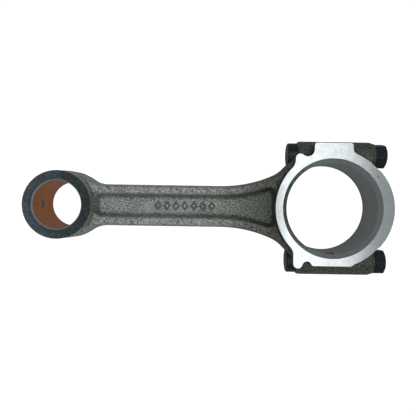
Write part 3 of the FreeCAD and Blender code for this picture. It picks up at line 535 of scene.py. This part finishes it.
def nut_mesh(name, side, turn, sizes):
    """Return a cap nut with its chamfered hexagon and threaded bore."""
    seat, end = NUT_LOW.x, NUT_HIGH.x
    from_flat = (ANGLES - math.radians(90) - turn + math.pi / 6) % (math.pi / 3) - math.pi / 6
    corner = NUT_HALF_WIDTH / math.cos(math.pi / 6)
    hexagon = NUT_HALF_WIDTH / np.cos(np.abs(from_flat) - math.pi / 6)
    hexagon = np.minimum(hexagon, corner - 0.08 * MM)
    drop = np.maximum((hexagon - sizes.face_radius) * math.tan(math.radians(30)), 0.05 * MM)
    mouth = sizes.bolt_radius + 0.6 * MM
    profile = [(seat, mouth), (seat, hexagon - 0.25 * MM), (seat + 0.2 * MM, hexagon),
               (end - drop, hexagon), (end, np.minimum(hexagon - 0.05 * MM, sizes.face_radius)),
               (end, mouth)]
    rings = [ring_at(x, radius, side) for x, radius in profile]
    root = sizes.bolt_radius - sizes.thread_depth + sizes.thread_gap
    step = sizes.pitch / 9
    for x in np.arange(end - 0.5 * MM, seat + 0.5 * MM, -step):
        rings.append(ring_at(x, root + sizes.thread_depth * thread_wave(x, sizes.pitch), side))
    return lofted(name, rings, closed=True)


# ---- Node groups ----------------------------------------------------------------------

def link_up(tree, source, output, target, socket):
    """Join an output to an input."""
    tree.links.new(source.outputs[output], target.inputs[socket])


def add_node(tree, kind, **values):
    """Add a node and set its inputs and attributes by name."""
    node = tree.nodes.new(kind)
    for name, value in values.items():
        if hasattr(node, name):
            setattr(node, name, value)
        else:
            node.inputs[name.replace("_", " ").title()].default_value = value
    return node


def new_group(name, inputs, outputs):
    """Start a shader node group with named inputs and outputs."""
    tree = bpy.data.node_groups.new(name, "ShaderNodeTree")
    for socket, default in inputs:
        kind = "NodeSocketVector" if default is None else "NodeSocketFloat"
        made = tree.interface.new_socket(name=socket, in_out="INPUT", socket_type=kind)
        if default is not None:
            made.default_value = default
    for socket in outputs:
        tree.interface.new_socket(name=socket, in_out="OUTPUT", socket_type="NodeSocketFloat")
    return tree, tree.nodes.new("NodeGroupInput"), tree.nodes.new("NodeGroupOutput")


def maths(tree, operation, first, second=None, clamp=False):
    """Add a Math node; each input is a number or an (output node, socket) pair."""
    node = tree.nodes.new("ShaderNodeMath")
    node.operation = operation
    node.use_clamp = clamp
    for index, value in enumerate((first, second)):
        if isinstance(value, tuple):
            link_up(tree, value[0], value[1], node, index)
        elif value is not None:
            node.inputs[index].default_value = value
    return (node, 0)


def build_blast_grain():
    """Build the grain of shot-blasted steel: fine craters, coarser mottling and dark specks."""
    tree, source, result = new_group(
        "blast_grain", [("Vector", None), ("Scale", 900.0), ("Mottling", 0.4)],
        ["Grain", "Specks", "Height"])
    fine = add_node(tree, "ShaderNodeTexNoise", detail=3.0, roughness=0.65)
    coarse = add_node(tree, "ShaderNodeTexNoise", detail=2.0, roughness=0.5)
    pits = add_node(tree, "ShaderNodeTexVoronoi")
    for node, share in ((fine, 1.0), (coarse, 0.09), (pits, 0.33)):
        link_up(tree, source, "Vector", node, "Vector")
        scale = maths(tree, "MULTIPLY", (source, "Scale"), share)
        link_up(tree, *scale, node, "Scale")
    fine_part = maths(tree, "MULTIPLY", (fine, "Fac"), 3.3)
    fine_part = maths(tree, "SUBTRACT", fine_part, 1.15)
    coarse_part = maths(tree, "SUBTRACT", (coarse, "Fac"), 0.5)
    coarse_part = maths(tree, "MULTIPLY", coarse_part, (source, "Mottling"))
    grain = maths(tree, "ADD", fine_part, coarse_part, clamp=True)
    link_up(tree, *grain, result, "Grain")
    specks = maths(tree, "LESS_THAN", (pits, "Distance"), 0.13)
    sparse = maths(tree, "GREATER_THAN", (coarse, "Fac"), 0.65)
    link_up(tree, *maths(tree, "MULTIPLY", specks, sparse), result, "Specks")
    link_up(tree, *maths(tree, "SUBTRACT", fine_part, specks), result, "Height")
    return tree


def build_tool_lay():
    """Build the lines that a grinding wheel or boring tool leaves along one direction."""
    tree, source, result = new_group(
        "tool_lay", [("Vector", None), ("Along", 60.0), ("Across", 2500.0), ("Turn", 0.0)],
        ["Lay", "Cloud"])
    turn = add_node(tree, "ShaderNodeVectorRotate", rotation_type="Z_AXIS")
    link_up(tree, source, "Vector", turn, "Vector")
    link_up(tree, source, "Turn", turn, "Angle")
    stretch = tree.nodes.new("ShaderNodeVectorMath")
    stretch.operation = "MULTIPLY"
    sizes = tree.nodes.new("ShaderNodeCombineXYZ")
    link_up(tree, source, "Along", sizes, "X")
    link_up(tree, source, "Across", sizes, "Y")
    link_up(tree, source, "Across", sizes, "Z")
    link_up(tree, turn, "Vector", stretch, 0)
    link_up(tree, sizes, "Vector", stretch, 1)
    lines = add_node(tree, "ShaderNodeTexNoise", scale=1.0, detail=2.0, roughness=0.6)
    link_up(tree, stretch, "Vector", lines, "Vector")
    link_up(tree, lines, "Fac", result, "Lay")
    cloud = add_node(tree, "ShaderNodeTexNoise", scale=260.0, detail=3.0, roughness=0.6)
    link_up(tree, source, "Vector", cloud, "Vector")
    link_up(tree, cloud, "Fac", result, "Cloud")
    return tree


def build_wear_and_shade():
    """Build masks of the ridges, lightened as wear and painted highlight, and of the hollows,
    darkened as painted shade.
    """
    tree, source, result = new_group("wear_and_shade", [("Spread", 12.0)], ["Ridge", "Painted shade"])
    shape = tree.nodes.new("ShaderNodeNewGeometry")
    bend = maths(tree, "SUBTRACT", (shape, "Pointiness"), 0.5)
    bend = maths(tree, "MULTIPLY", bend, (source, "Spread"))
    link_up(tree, *maths(tree, "MAXIMUM", bend, 0.0, clamp=True), result, "Ridge")
    link_up(tree, *maths(tree, "MULTIPLY", bend, -1.0, clamp=True), result, "Painted shade")
    return tree


# ---- Materials ------------------------------------------------------------------------

class Finish:
    """A material under construction, with its Principled shader and object coordinates."""

    def __init__(self, name, metallic, specular=0.5):
        self.material = bpy.data.materials.new(name)
        self.material.use_nodes = True
        self.tree = self.material.node_tree
        self.shader = self.tree.nodes["Principled BSDF"]
        self.shader.inputs["Metallic"].default_value = metallic
        self.shader.inputs["Specular IOR Level"].default_value = specular
        self.place = (self.tree.nodes.new("ShaderNodeTexCoord"), "Object")

    def group(self, name, **values):
        """Place a shared node group with its own values."""
        node = self.tree.nodes.new("ShaderNodeGroup")
        node.node_tree = bpy.data.node_groups[name]
        for socket, value in values.items():
            node.inputs[socket].default_value = value
        if "Vector" in node.inputs:
            link_up(self.tree, *self.place, node, "Vector")
        return node

    def mix(self, share, first, second, blend="MIX"):
        """Mix two colours, each an (output node, socket) pair or a plain colour, by a mask."""
        node = self.tree.nodes.new("ShaderNodeMix")
        node.data_type = "RGBA"
        node.blend_type = blend
        for index, value in ((0, share), (6, first), (7, second)):
            if isinstance(value, tuple) and hasattr(value[0], "outputs"):
                link_up(self.tree, value[0], value[1], node, index)
            elif index == 0:
                node.inputs[0].default_value = value
            else:
                node.inputs[index].default_value = (*value, 1.0)
        return (node, 2)

    def along_rod(self, start, end):
        """Return a mask that rises from 0 to 1 between two places along the rod."""
        split = self.tree.nodes.new("ShaderNodeSeparateXYZ")
        link_up(self.tree, *self.place, split, 0)
        rise = self.tree.nodes.new("ShaderNodeMapRange")
        rise.interpolation_type = "SMOOTHSTEP"
        rise.inputs["From Min"].default_value = start
        rise.inputs["From Max"].default_value = end
        link_up(self.tree, split, "X", rise, "Value")
        return (rise, 0)

    def paint(self, colour_source):
        """Feed the base colour."""
        link_up(self.tree, *colour_source, self.shader, "Base Color")

    def roughen(self, mask, low, high):
        """Feed the roughness from a mask, between two values."""
        node = self.tree.nodes.new("ShaderNodeMapRange")
        node.inputs["To Min"].default_value = low
        node.inputs["To Max"].default_value = high
        link_up(self.tree, *mask, node, "Value")
        link_up(self.tree, node, 0, self.shader, "Roughness")

    def emboss(self, height, distance, strength=1.0):
        """Feed the normal from a height."""
        node = self.tree.nodes.new("ShaderNodeBump")
        node.inputs["Distance"].default_value = distance
        node.inputs["Strength"].default_value = strength
        link_up(self.tree, *height, node, "Height")
        link_up(self.tree, node, "Normal", self.shader, "Normal")


def build_blasted_forging(colours):
    """Shot-blasted forging: bright grains over dark scale, lighter ridges, painted shade in the
    hollows, darker and browner towards the big end.
    """
    finish = Finish("blasted_forging", 0.55)
    grain = finish.group("blast_grain", Scale=1150.0, Mottling=0.5)
    wear_shade_masks = finish.group("wear_and_shade", Spread=10.0)
    steel = finish.mix((grain, "Grain"), colours.scale_dark, colours.scale_light)
    # Ridges painted lighter: partly rubbed wear, partly a painted edge highlight.
    steel = finish.mix((wear_shade_masks, "Ridge"), steel, (0.55, 0.56, 0.52))
    # Painted shade: the hollows and recess walls of the forging are darkened.
    painted_shade = maths(finish.tree, "MULTIPLY", (wear_shade_masks, "Painted shade"), 1.5, clamp=True)
    steel = finish.mix(painted_shade, steel, (0.03, 0.03, 0.025))
    steel = finish.mix((grain, "Specks"), steel, (0.04, 0.03, 0.02))
    # The forging is painted darker and browner towards the big end.
    big_end_toned = finish.mix(1.0, steel, colours.big_end_tone, "MULTIPLY")
    finish.paint(finish.mix(finish.along_rod(-0.085, -0.028), steel, big_end_toned))
    finish.roughen((grain, "Grain"), 0.62, 0.46)
    finish.emboss((grain, "Height"), 0.15 * MM, 0.8)


def build_forging_scale(colours):
    """Dark scale that stays round the raised lozenges."""
    finish = Finish("forging_scale", 0.3)
    grain = finish.group("blast_grain", Scale=900.0, Mottling=0.7)
    dark = tuple(0.12 * part for part in colours.scale_dark)
    finish.paint(finish.mix((grain, "Grain"), dark, tuple(3.0 * part for part in dark)))
    finish.roughen((grain, "Grain"), 0.7, 0.55)
    finish.emboss((grain, "Height"), 0.05 * MM, 0.5)


def build_ground_face(colours):
    """Ground face of the big end: straight lay, cloudy sheen, and painted shade darkening both
    ends.
    """
    finish = Finish("ground_face", 1.0)
    lay = finish.group("tool_lay", Along=140.0, Across=2600.0, Turn=1.35)
    grain = finish.group("blast_grain", Scale=950.0, Mottling=0.5)
    dark = tuple(0.62 * part for part in colours.ground)
    steel = finish.mix((grain, "Grain"), dark, colours.ground)
    steel = finish.mix((lay, "Lay"), steel, tuple(min(1.0, 1.2 * part) for part in colours.ground))
    # Painted shade: the ground face is darkened towards the shank and towards the crown.
    shank_end_shade = finish.mix(1.0, steel, (0.55, 0.56, 0.57), "MULTIPLY")
    crown_end_shade = finish.mix(1.0, steel, (0.57, 0.59, 0.59), "MULTIPLY")
    steel = finish.mix(finish.along_rod(-0.036, -0.023), shank_end_shade, steel)
    finish.paint(finish.mix(finish.along_rod(0.007, 0.028), steel, crown_end_shade))
    finish.roughen((lay, "Cloud"), 0.22, 0.38)
    finish.emboss((grain, "Grain"), 0.012 * MM, 0.6)


def build_eye_face(colours):
    """Darker ground face of the eye, with a faint lay."""
    finish = Finish("eye_face", 0.9)
    lay = finish.group("tool_lay", Along=120.0, Across=1500.0, Turn=0.3)
    grain = finish.group("blast_grain", Scale=1000.0, Mottling=0.6)
    light = tuple(2.1 * part for part in colours.eye_face)
    steel = finish.mix((lay, "Lay"), colours.eye_face, light)
    steel = finish.mix((grain, "Grain"), tuple(0.6 * part for part in colours.eye_face), steel)
    # The eye face is made darker towards the shank.
    shank_side_tone = finish.mix(1.0, steel, (0.5, 0.48, 0.44), "MULTIPLY")
    finish.paint(finish.mix(finish.along_rod(-0.178, -0.146), steel, shank_side_tone))
    finish.roughen((lay, "Cloud"), 0.34, 0.52)
    finish.emboss((lay, "Lay"), 0.02 * MM, 0.5)


def build_bored(name, tone, low, high):
    """Bored steel, with lines round the bore."""
    finish = Finish(name, 0.95)
    lay = finish.group("tool_lay", Along=25.0, Across=25.0, Turn=0.0)
    rings = add_node(finish.tree, "ShaderNodeTexWave", bands_direction="Z", scale=900.0,
                     distortion=1.2, detail=2.0)
    link_up(finish.tree, *finish.place, rings, "Vector")
    dark = tuple(0.75 * part for part in tone)
    steel = finish.mix((rings, "Fac"), dark, tone)
    steel = finish.mix((lay, "Cloud"), steel, tuple(1.15 * part for part in tone))
    finish.paint(steel)
    finish.roughen((lay, "Cloud"), low, high)
    finish.emboss((rings, "Fac"), 0.008 * MM, 0.4)


def build_drilled(colours):
    """Drilled and faced steel where the bolts and the split meet."""
    finish = Finish("drilled_steel", 1.0)
    lay = finish.group("tool_lay", Along=300.0, Across=1800.0, Turn=0.8)
    tone = tuple(0.75 * part for part in colours.ground)
    steel = finish.mix((lay, "Lay"), tuple(0.7 * part for part in tone), tone)
    finish.paint(finish.mix((lay, "Cloud"), steel, tone))
    finish.roughen((lay, "Cloud"), 0.32, 0.5)
    finish.emboss((lay, "Lay"), 0.015 * MM, 0.5)


def build_bush_lining(colours):
    """Bored bronze, in bands of brighter and duller metal."""
    finish = Finish("bush_lining", 0.85)
    lay = finish.group("tool_lay", Along=18.0, Across=18.0, Turn=0.0)
    rings = add_node(finish.tree, "ShaderNodeTexWave", bands_direction="Z", scale=330.0,
                     distortion=5.0, detail=3.0)
    link_up(finish.tree, *finish.place, rings, "Vector")
    bronze = finish.mix((rings, "Fac"), colours.bronze_dark, colours.bronze)
    bronze = finish.mix((lay, "Cloud"), bronze, colours.bronze)
    finish.paint(bronze)
    finish.roughen((rings, "Fac"), 0.42, 0.30)
    finish.emboss((rings, "Fac"), 0.012 * MM, 0.5)


def build_bush_back(colours):
    """The bush's bright steel ends and back."""
    finish = Finish("bush_back", 0.5)
    lay = finish.group("tool_lay", Along=500.0, Across=2200.0, Turn=0.5)
    tone = tuple(0.9 * part for part in colours.ground)
    finish.paint(finish.mix((lay, "Lay"), tuple(0.7 * part for part in tone), tone))
    finish.roughen((lay, "Cloud"), 0.35, 0.5)
    finish.emboss((lay, "Lay"), 0.01 * MM, 0.5)


def build_black_oxide(colours):
    """Black oxide on the bolts and nuts, rubbed grey on its corners."""
    finish = Finish("black_oxide", 0.35)
    grain = finish.group("blast_grain", Scale=1100.0, Mottling=0.8)
    wear_shade_masks = finish.group("wear_and_shade", Spread=3.0)
    light = tuple(1.7 * part for part in colours.oxide)
    black = finish.mix((grain, "Grain"), colours.oxide, light)
    rub = maths(finish.tree, "MULTIPLY", (wear_shade_masks, "Ridge"), (grain, "Grain"))
    finish.paint(finish.mix(rub, black, (0.10, 0.11, 0.115)))
    finish.roughen((grain, "Grain"), 0.34, 0.5)
    finish.emboss((grain, "Height"), 0.02 * MM, 0.5)


def build_floor():
    """Pale seamless floor, seen as white, that throws little light back up."""
    finish = Finish("pale_floor", 0.0, 0.2)
    grain = finish.group("blast_grain", Scale=60.0, Mottling=0.1)
    finish.paint(finish.mix((grain, "Grain"), (0.78, 0.78, 0.78), (0.82, 0.82, 0.82)))
    finish.shader.inputs["Roughness"].default_value = 0.9
    glow = finish.tree.nodes.new("ShaderNodeEmission")
    glow.inputs["Color"].default_value = (1.0, 1.0, 1.0, 1.0)
    glow.inputs["Strength"].default_value = 1.1
    seen = finish.tree.nodes.new("ShaderNodeLightPath")
    blend = finish.tree.nodes.new("ShaderNodeMixShader")
    link_up(finish.tree, seen, "Is Camera Ray", blend, 0)
    link_up(finish.tree, finish.shader, "BSDF", blend, 1)
    link_up(finish.tree, glow, "Emission", blend, 2)
    link_up(finish.tree, blend, 0, finish.tree.nodes["Material Output"], "Surface")


# ---- Operators ------------------------------------------------------------------------

class ROD_OT_finishes(bpy.types.Operator):
    """Build the node groups and every finish"""

    bl_idname = "rod.finishes"
    bl_label = "Build finishes"

    def execute(self, context):
        colours = context.scene.rod_colours
        build_blast_grain()
        build_tool_lay()
        build_wear_and_shade()
        build_blasted_forging(colours)
        build_forging_scale(colours)
        build_ground_face(colours)
        build_eye_face(colours)
        build_bored("bored_wall", tuple(colours.bored), 0.36, 0.52)
        build_bored("bore_chamfer", tuple(1.55 * part for part in colours.bored), 0.14, 0.34)
        build_drilled(colours)
        build_bush_lining(colours)
        build_bush_back(colours)
        build_black_oxide(colours)
        return {"FINISHED"}


class ROD_OT_forging(bpy.types.Operator):
    """Forge the rod with soft blends, machine it and raise its row of lozenges"""

    bl_idname = "rod.forging"
    bl_label = "Forge the rod"

    def execute(self, context):
        sizes = context.scene.rod_forging
        fasteners = context.scene.rod_fasteners
        reach, eye_radius = HALF_WIDTH + PLUG_REACH, sizes.bush_seat + 0.9 * MM
        oil_radius = sizes.oil_hole + 0.5 * MM
        plugs = [
            bore_plug(sizes, SPLIT_OVERLAP, FAR),
            turned("eye plug", [(-reach, eye_radius), (reach, eye_radius)], EYE, "Z"),
            turned("oil plug", [(CAD_LOW.x, oil_radius), (CAD_LOW.x + 6.0 * MM, oil_radius)],
                   (0, 0, 0), "X", 32),
        ]
        plugs += bolt_hole_tools(-sizes.seat_to_split - 0.5 * MM, SPLIT_OVERLAP,
                                 sizes.bolt_hole + BOLT_PLUG_WALL)
        skin = forged_skin("rod_forging", 1, plugs, sizes)
        seat, half = sizes.bush_seat, HALF_WIDTH
        mouth = seat + sizes.eye_chamfer
        eye = [(-40 * MM, mouth), (-half, mouth), (sizes.eye_chamfer - half, seat),
               (half - sizes.eye_chamfer, seat), (half, mouth), (40 * MM, mouth)]
        tools = big_bore_tools(sizes)
        tools.append(block("split", (0, -FAR, -FAR), (FAR, FAR, FAR)))
        tools.append(turned("eye bore", eye, EYE, "Z"))
        oil_hole = [(EYE.x - 40 * MM, sizes.oil_hole), (EYE.x, sizes.oil_hole)]
        tools.append(turned("oil hole", oil_hole, (0, 0, 0), "X", 48))
        tools += bolt_hole_tools(-40.0 * MM, 5.0 * MM, sizes.bolt_hole)
        tools += head_seat_tools(sizes, fasteners)
        tools.append(tang_slot_tool(-sizes.tang_along, 2.0 * MM, sizes))
        shape = combine(skin, tools, "DIFFERENCE")
        whole = merged("rod_forging_skin", [shape, lozenges(sizes)])
        finish_forging("rod_forging", "rod", whole, sizes)
        return {"FINISHED"}


class ROD_OT_cap(bpy.types.Operator):
    """Forge the bearing cap with soft blends and machine it"""

    bl_idname = "rod.cap"
    bl_label = "Forge the cap"

    def execute(self, context):
        sizes = context.scene.rod_forging
        plugs = [bore_plug(sizes, -FAR, -SPLIT_OVERLAP)]
        plugs += bolt_hole_tools(-SPLIT_OVERLAP, NUT_LOW.x - 0.3 * MM,
                                 sizes.bolt_hole + BOLT_PLUG_WALL)
        skin = forged_skin("bearing_cap", -1, plugs, sizes)
        pads = bolt_hole_tools(NUT_LOW.x - 2.5 * MM, NUT_LOW.x, sizes.nut_pad)
        skin = combine(skin, pads, "UNION")
        tools = big_bore_tools(sizes)
        tools.append(block("split", (-FAR, -FAR, -FAR), (0, FAR, FAR)))
        tools += bolt_hole_tools(-5.0 * MM, 40.0 * MM, sizes.bolt_hole)
        tools.append(tang_slot_tool(-2.0 * MM, sizes.tang_along, sizes))
        depth = HALF_WIDTH - 0.5 * MM
        tools.append(turned("punch mark", [(depth, 0.1 * MM), (HALF_WIDTH + 1.0 * MM, 1.1 * MM)],
                            (26.6 * MM, 19.2 * MM, 0), "Z", 32))
        finish_forging("bearing_cap", "cap", combine(skin, tools, "DIFFERENCE"), sizes)
        return {"FINISHED"}


class ROD_OT_bush(bpy.types.Operator):
    """Line the small-end bush with bronze on a steel back"""

    bl_idname = "rod.bush"
    bl_label = "Finish the bush"

    def execute(self, context):
        bush = frame["nodes"]["small_end_bush"]
        bush.data.materials.clear()
        for name in ("bush_lining", "bush_back", "eye_face"):
            bush.data.materials.append(bpy.data.materials[name])
        for face in bush.data.polygons:
            away = math.hypot(face.center.x - EYE.x, face.center.y)
            face.material_index = 1 if away > 14.55 * MM else 0
            if abs(face.normal.z) > 0.99:
                face.material_index = 2
        return {"FINISHED"}


def put_fastener(name, node, body, mesh):
    """Put a fastener's own mesh in the place of its node."""
    mesh.materials.append(bpy.data.materials["black_oxide"])
    sharpen(mesh, math.radians(35))
    piece = new_object(name, mesh)
    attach(piece, body)
    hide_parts(node)


class ROD_OT_bolts(bpy.types.Operator):
    """Turn and thread both cap bolts"""

    bl_idname = "rod.bolts"
    bl_label = "Turn the cap bolts"

    def execute(self, context):
        sizes = context.scene.rod_fasteners
        for label, side in (("upper", 1), ("lower", -1)):
            mesh = bolt_mesh(f"cap_bolt_{label}_turned", side, sizes)
            put_fastener(f"cap_bolt_{label}_turned", f"cap_bolt_{label}", f"bolt_{label}", mesh)
        return {"FINISHED"}


class ROD_OT_nuts(bpy.types.Operator):
    """Chamfer and thread both cap nuts"""

    bl_idname = "rod.nuts"
    bl_label = "Cut the cap nuts"

    def execute(self, context):
        sizes = context.scene.rod_fasteners
        for label, side, turn in (("upper", 1, sizes.upper_turn), ("lower", -1, 0.0)):
            mesh = nut_mesh(f"cap_nut_{label}_cut", side, turn, sizes)
            put_fastener(f"cap_nut_{label}_cut", f"cap_nut_{label}", f"nut_{label}", mesh)
        return {"FINISHED"}


def add_softbox(name, place, aim, size, radiance):
    """Hang a rectangular softbox of an even radiance, aimed at a point."""
    light = bpy.data.lights.new(name, "AREA")
    light.shape = "RECTANGLE"
    light.size, light.size_y = size
    light.energy = radiance * math.pi * size[0] * size[1]
    thing = bpy.data.objects.new(name, light)
    bpy.context.scene.collection.objects.link(thing)
    thing.location = place
    thing.rotation_euler = (Vector(aim) - Vector(place)).to_track_quat("-Z", "Y").to_euler()


class ROD_OT_stage(bpy.types.Operator):
    """Lay the floor, hang the lights and set up the camera"""

    bl_idname = "rod.stage"
    bl_label = "Set the stage"

    def execute(self, context):
        scene, studio = context.scene, context.scene.rod_studio
        build_floor()
        mesh = bpy.data.meshes.new("floor")
        mesh.from_pydata([(-3, -3, 0), (3, -3, 0), (3, 3, 0), (-3, 3, 0)], [], [(0, 1, 2, 3)])
        mesh.materials.append(bpy.data.materials["pale_floor"])
        floor = new_object("floor", mesh)
        floor.location.z = CAD_LOW.z
        add_softbox("overhead softbox", (-0.015, -0.06, 0.9), (-0.015, -0.06, 0), (0.61, 0.8),
                    studio.overhead)
        add_softbox("big end softbox", (0.12, 0.0, 0.6), (0.12, 0, 0), (0.16, 0.4), studio.strip)
        add_softbox("left fill", (-0.66, 0.0, 0.85), (-0.2, 0, 0), (0.3, 0.6), studio.fill)
        world = bpy.data.worlds.new("studio")
        scene.world = world
        world.use_nodes = True
        sky = world.node_tree.nodes["Background"]
        sky.inputs["Color"].default_value = (0.92, 0.96, 1.0, 1.0)
        sky.inputs["Strength"].default_value = 0.22
        scene.view_settings.view_transform = "Standard"
        lens = bpy.data.cameras.new("studio camera")
        lens.sensor_width = 36.0
        lens.lens = studio.lens
        lens.shift_x, lens.shift_y = studio.shift_x, studio.shift_y
        lens.clip_start = 0.01
        camera = bpy.data.objects.new("studio camera", lens)
        scene.collection.objects.link(camera)
        camera.location = (studio.camera_x, studio.camera_y, HALF_WIDTH + studio.camera_height)
        camera.rotation_euler = (0, 0, studio.roll)
        scene.camera = camera
        return {"FINISHED"}


class ROD_PT_panel(bpy.types.Panel):
    """Lists the steps that finish the connecting rod"""

    bl_idname = "ROD_PT_panel"
    bl_label = "Connecting Rod"
    bl_space_type = "VIEW_3D"
    bl_region_type = "UI"
    bl_category = "Connecting Rod"

    def draw(self, context):
        for step in STEPS:
            self.layout.operator(step.bl_idname)
        for group in GROUPS:
            settings = getattr(context.scene, group)
            box = self.layout.box()
            for name in settings.__annotations__:
                box.prop(settings, name)


STEPS = (ROD_OT_finishes, ROD_OT_forging, ROD_OT_cap, ROD_OT_bush, ROD_OT_bolts, ROD_OT_nuts,
         ROD_OT_stage)
GROUPS = {"rod_forging": ForgingSizes, "rod_fasteners": FastenerSizes,
          "rod_colours": FinishColours, "rod_studio": StudioSettings}


def register():
    """Register the classes and hang the settings on the scene."""
    for group in GROUPS.values():
        bpy.utils.register_class(group)
    for step in (*STEPS, ROD_PT_panel):
        bpy.utils.register_class(step)
    for name, group in GROUPS.items():
        setattr(bpy.types.Scene, name, PointerProperty(type=group))


def unregister():
    """Take the settings and the classes away again."""
    for name in GROUPS:
        delattr(bpy.types.Scene, name)
    for step in (ROD_PT_panel, *reversed(STEPS)):
        bpy.utils.unregister_class(step)
    for group in GROUPS.values():
        bpy.utils.unregister_class(group)


def main():
    """Run every step in order."""
    register()
    bpy.ops.rod.finishes()
    bpy.ops.rod.forging()
    bpy.ops.rod.cap()
    bpy.ops.rod.bush()
    bpy.ops.rod.bolts()
    bpy.ops.rod.nuts()
    bpy.ops.rod.stage()


if __name__ == "__main__":
    main()
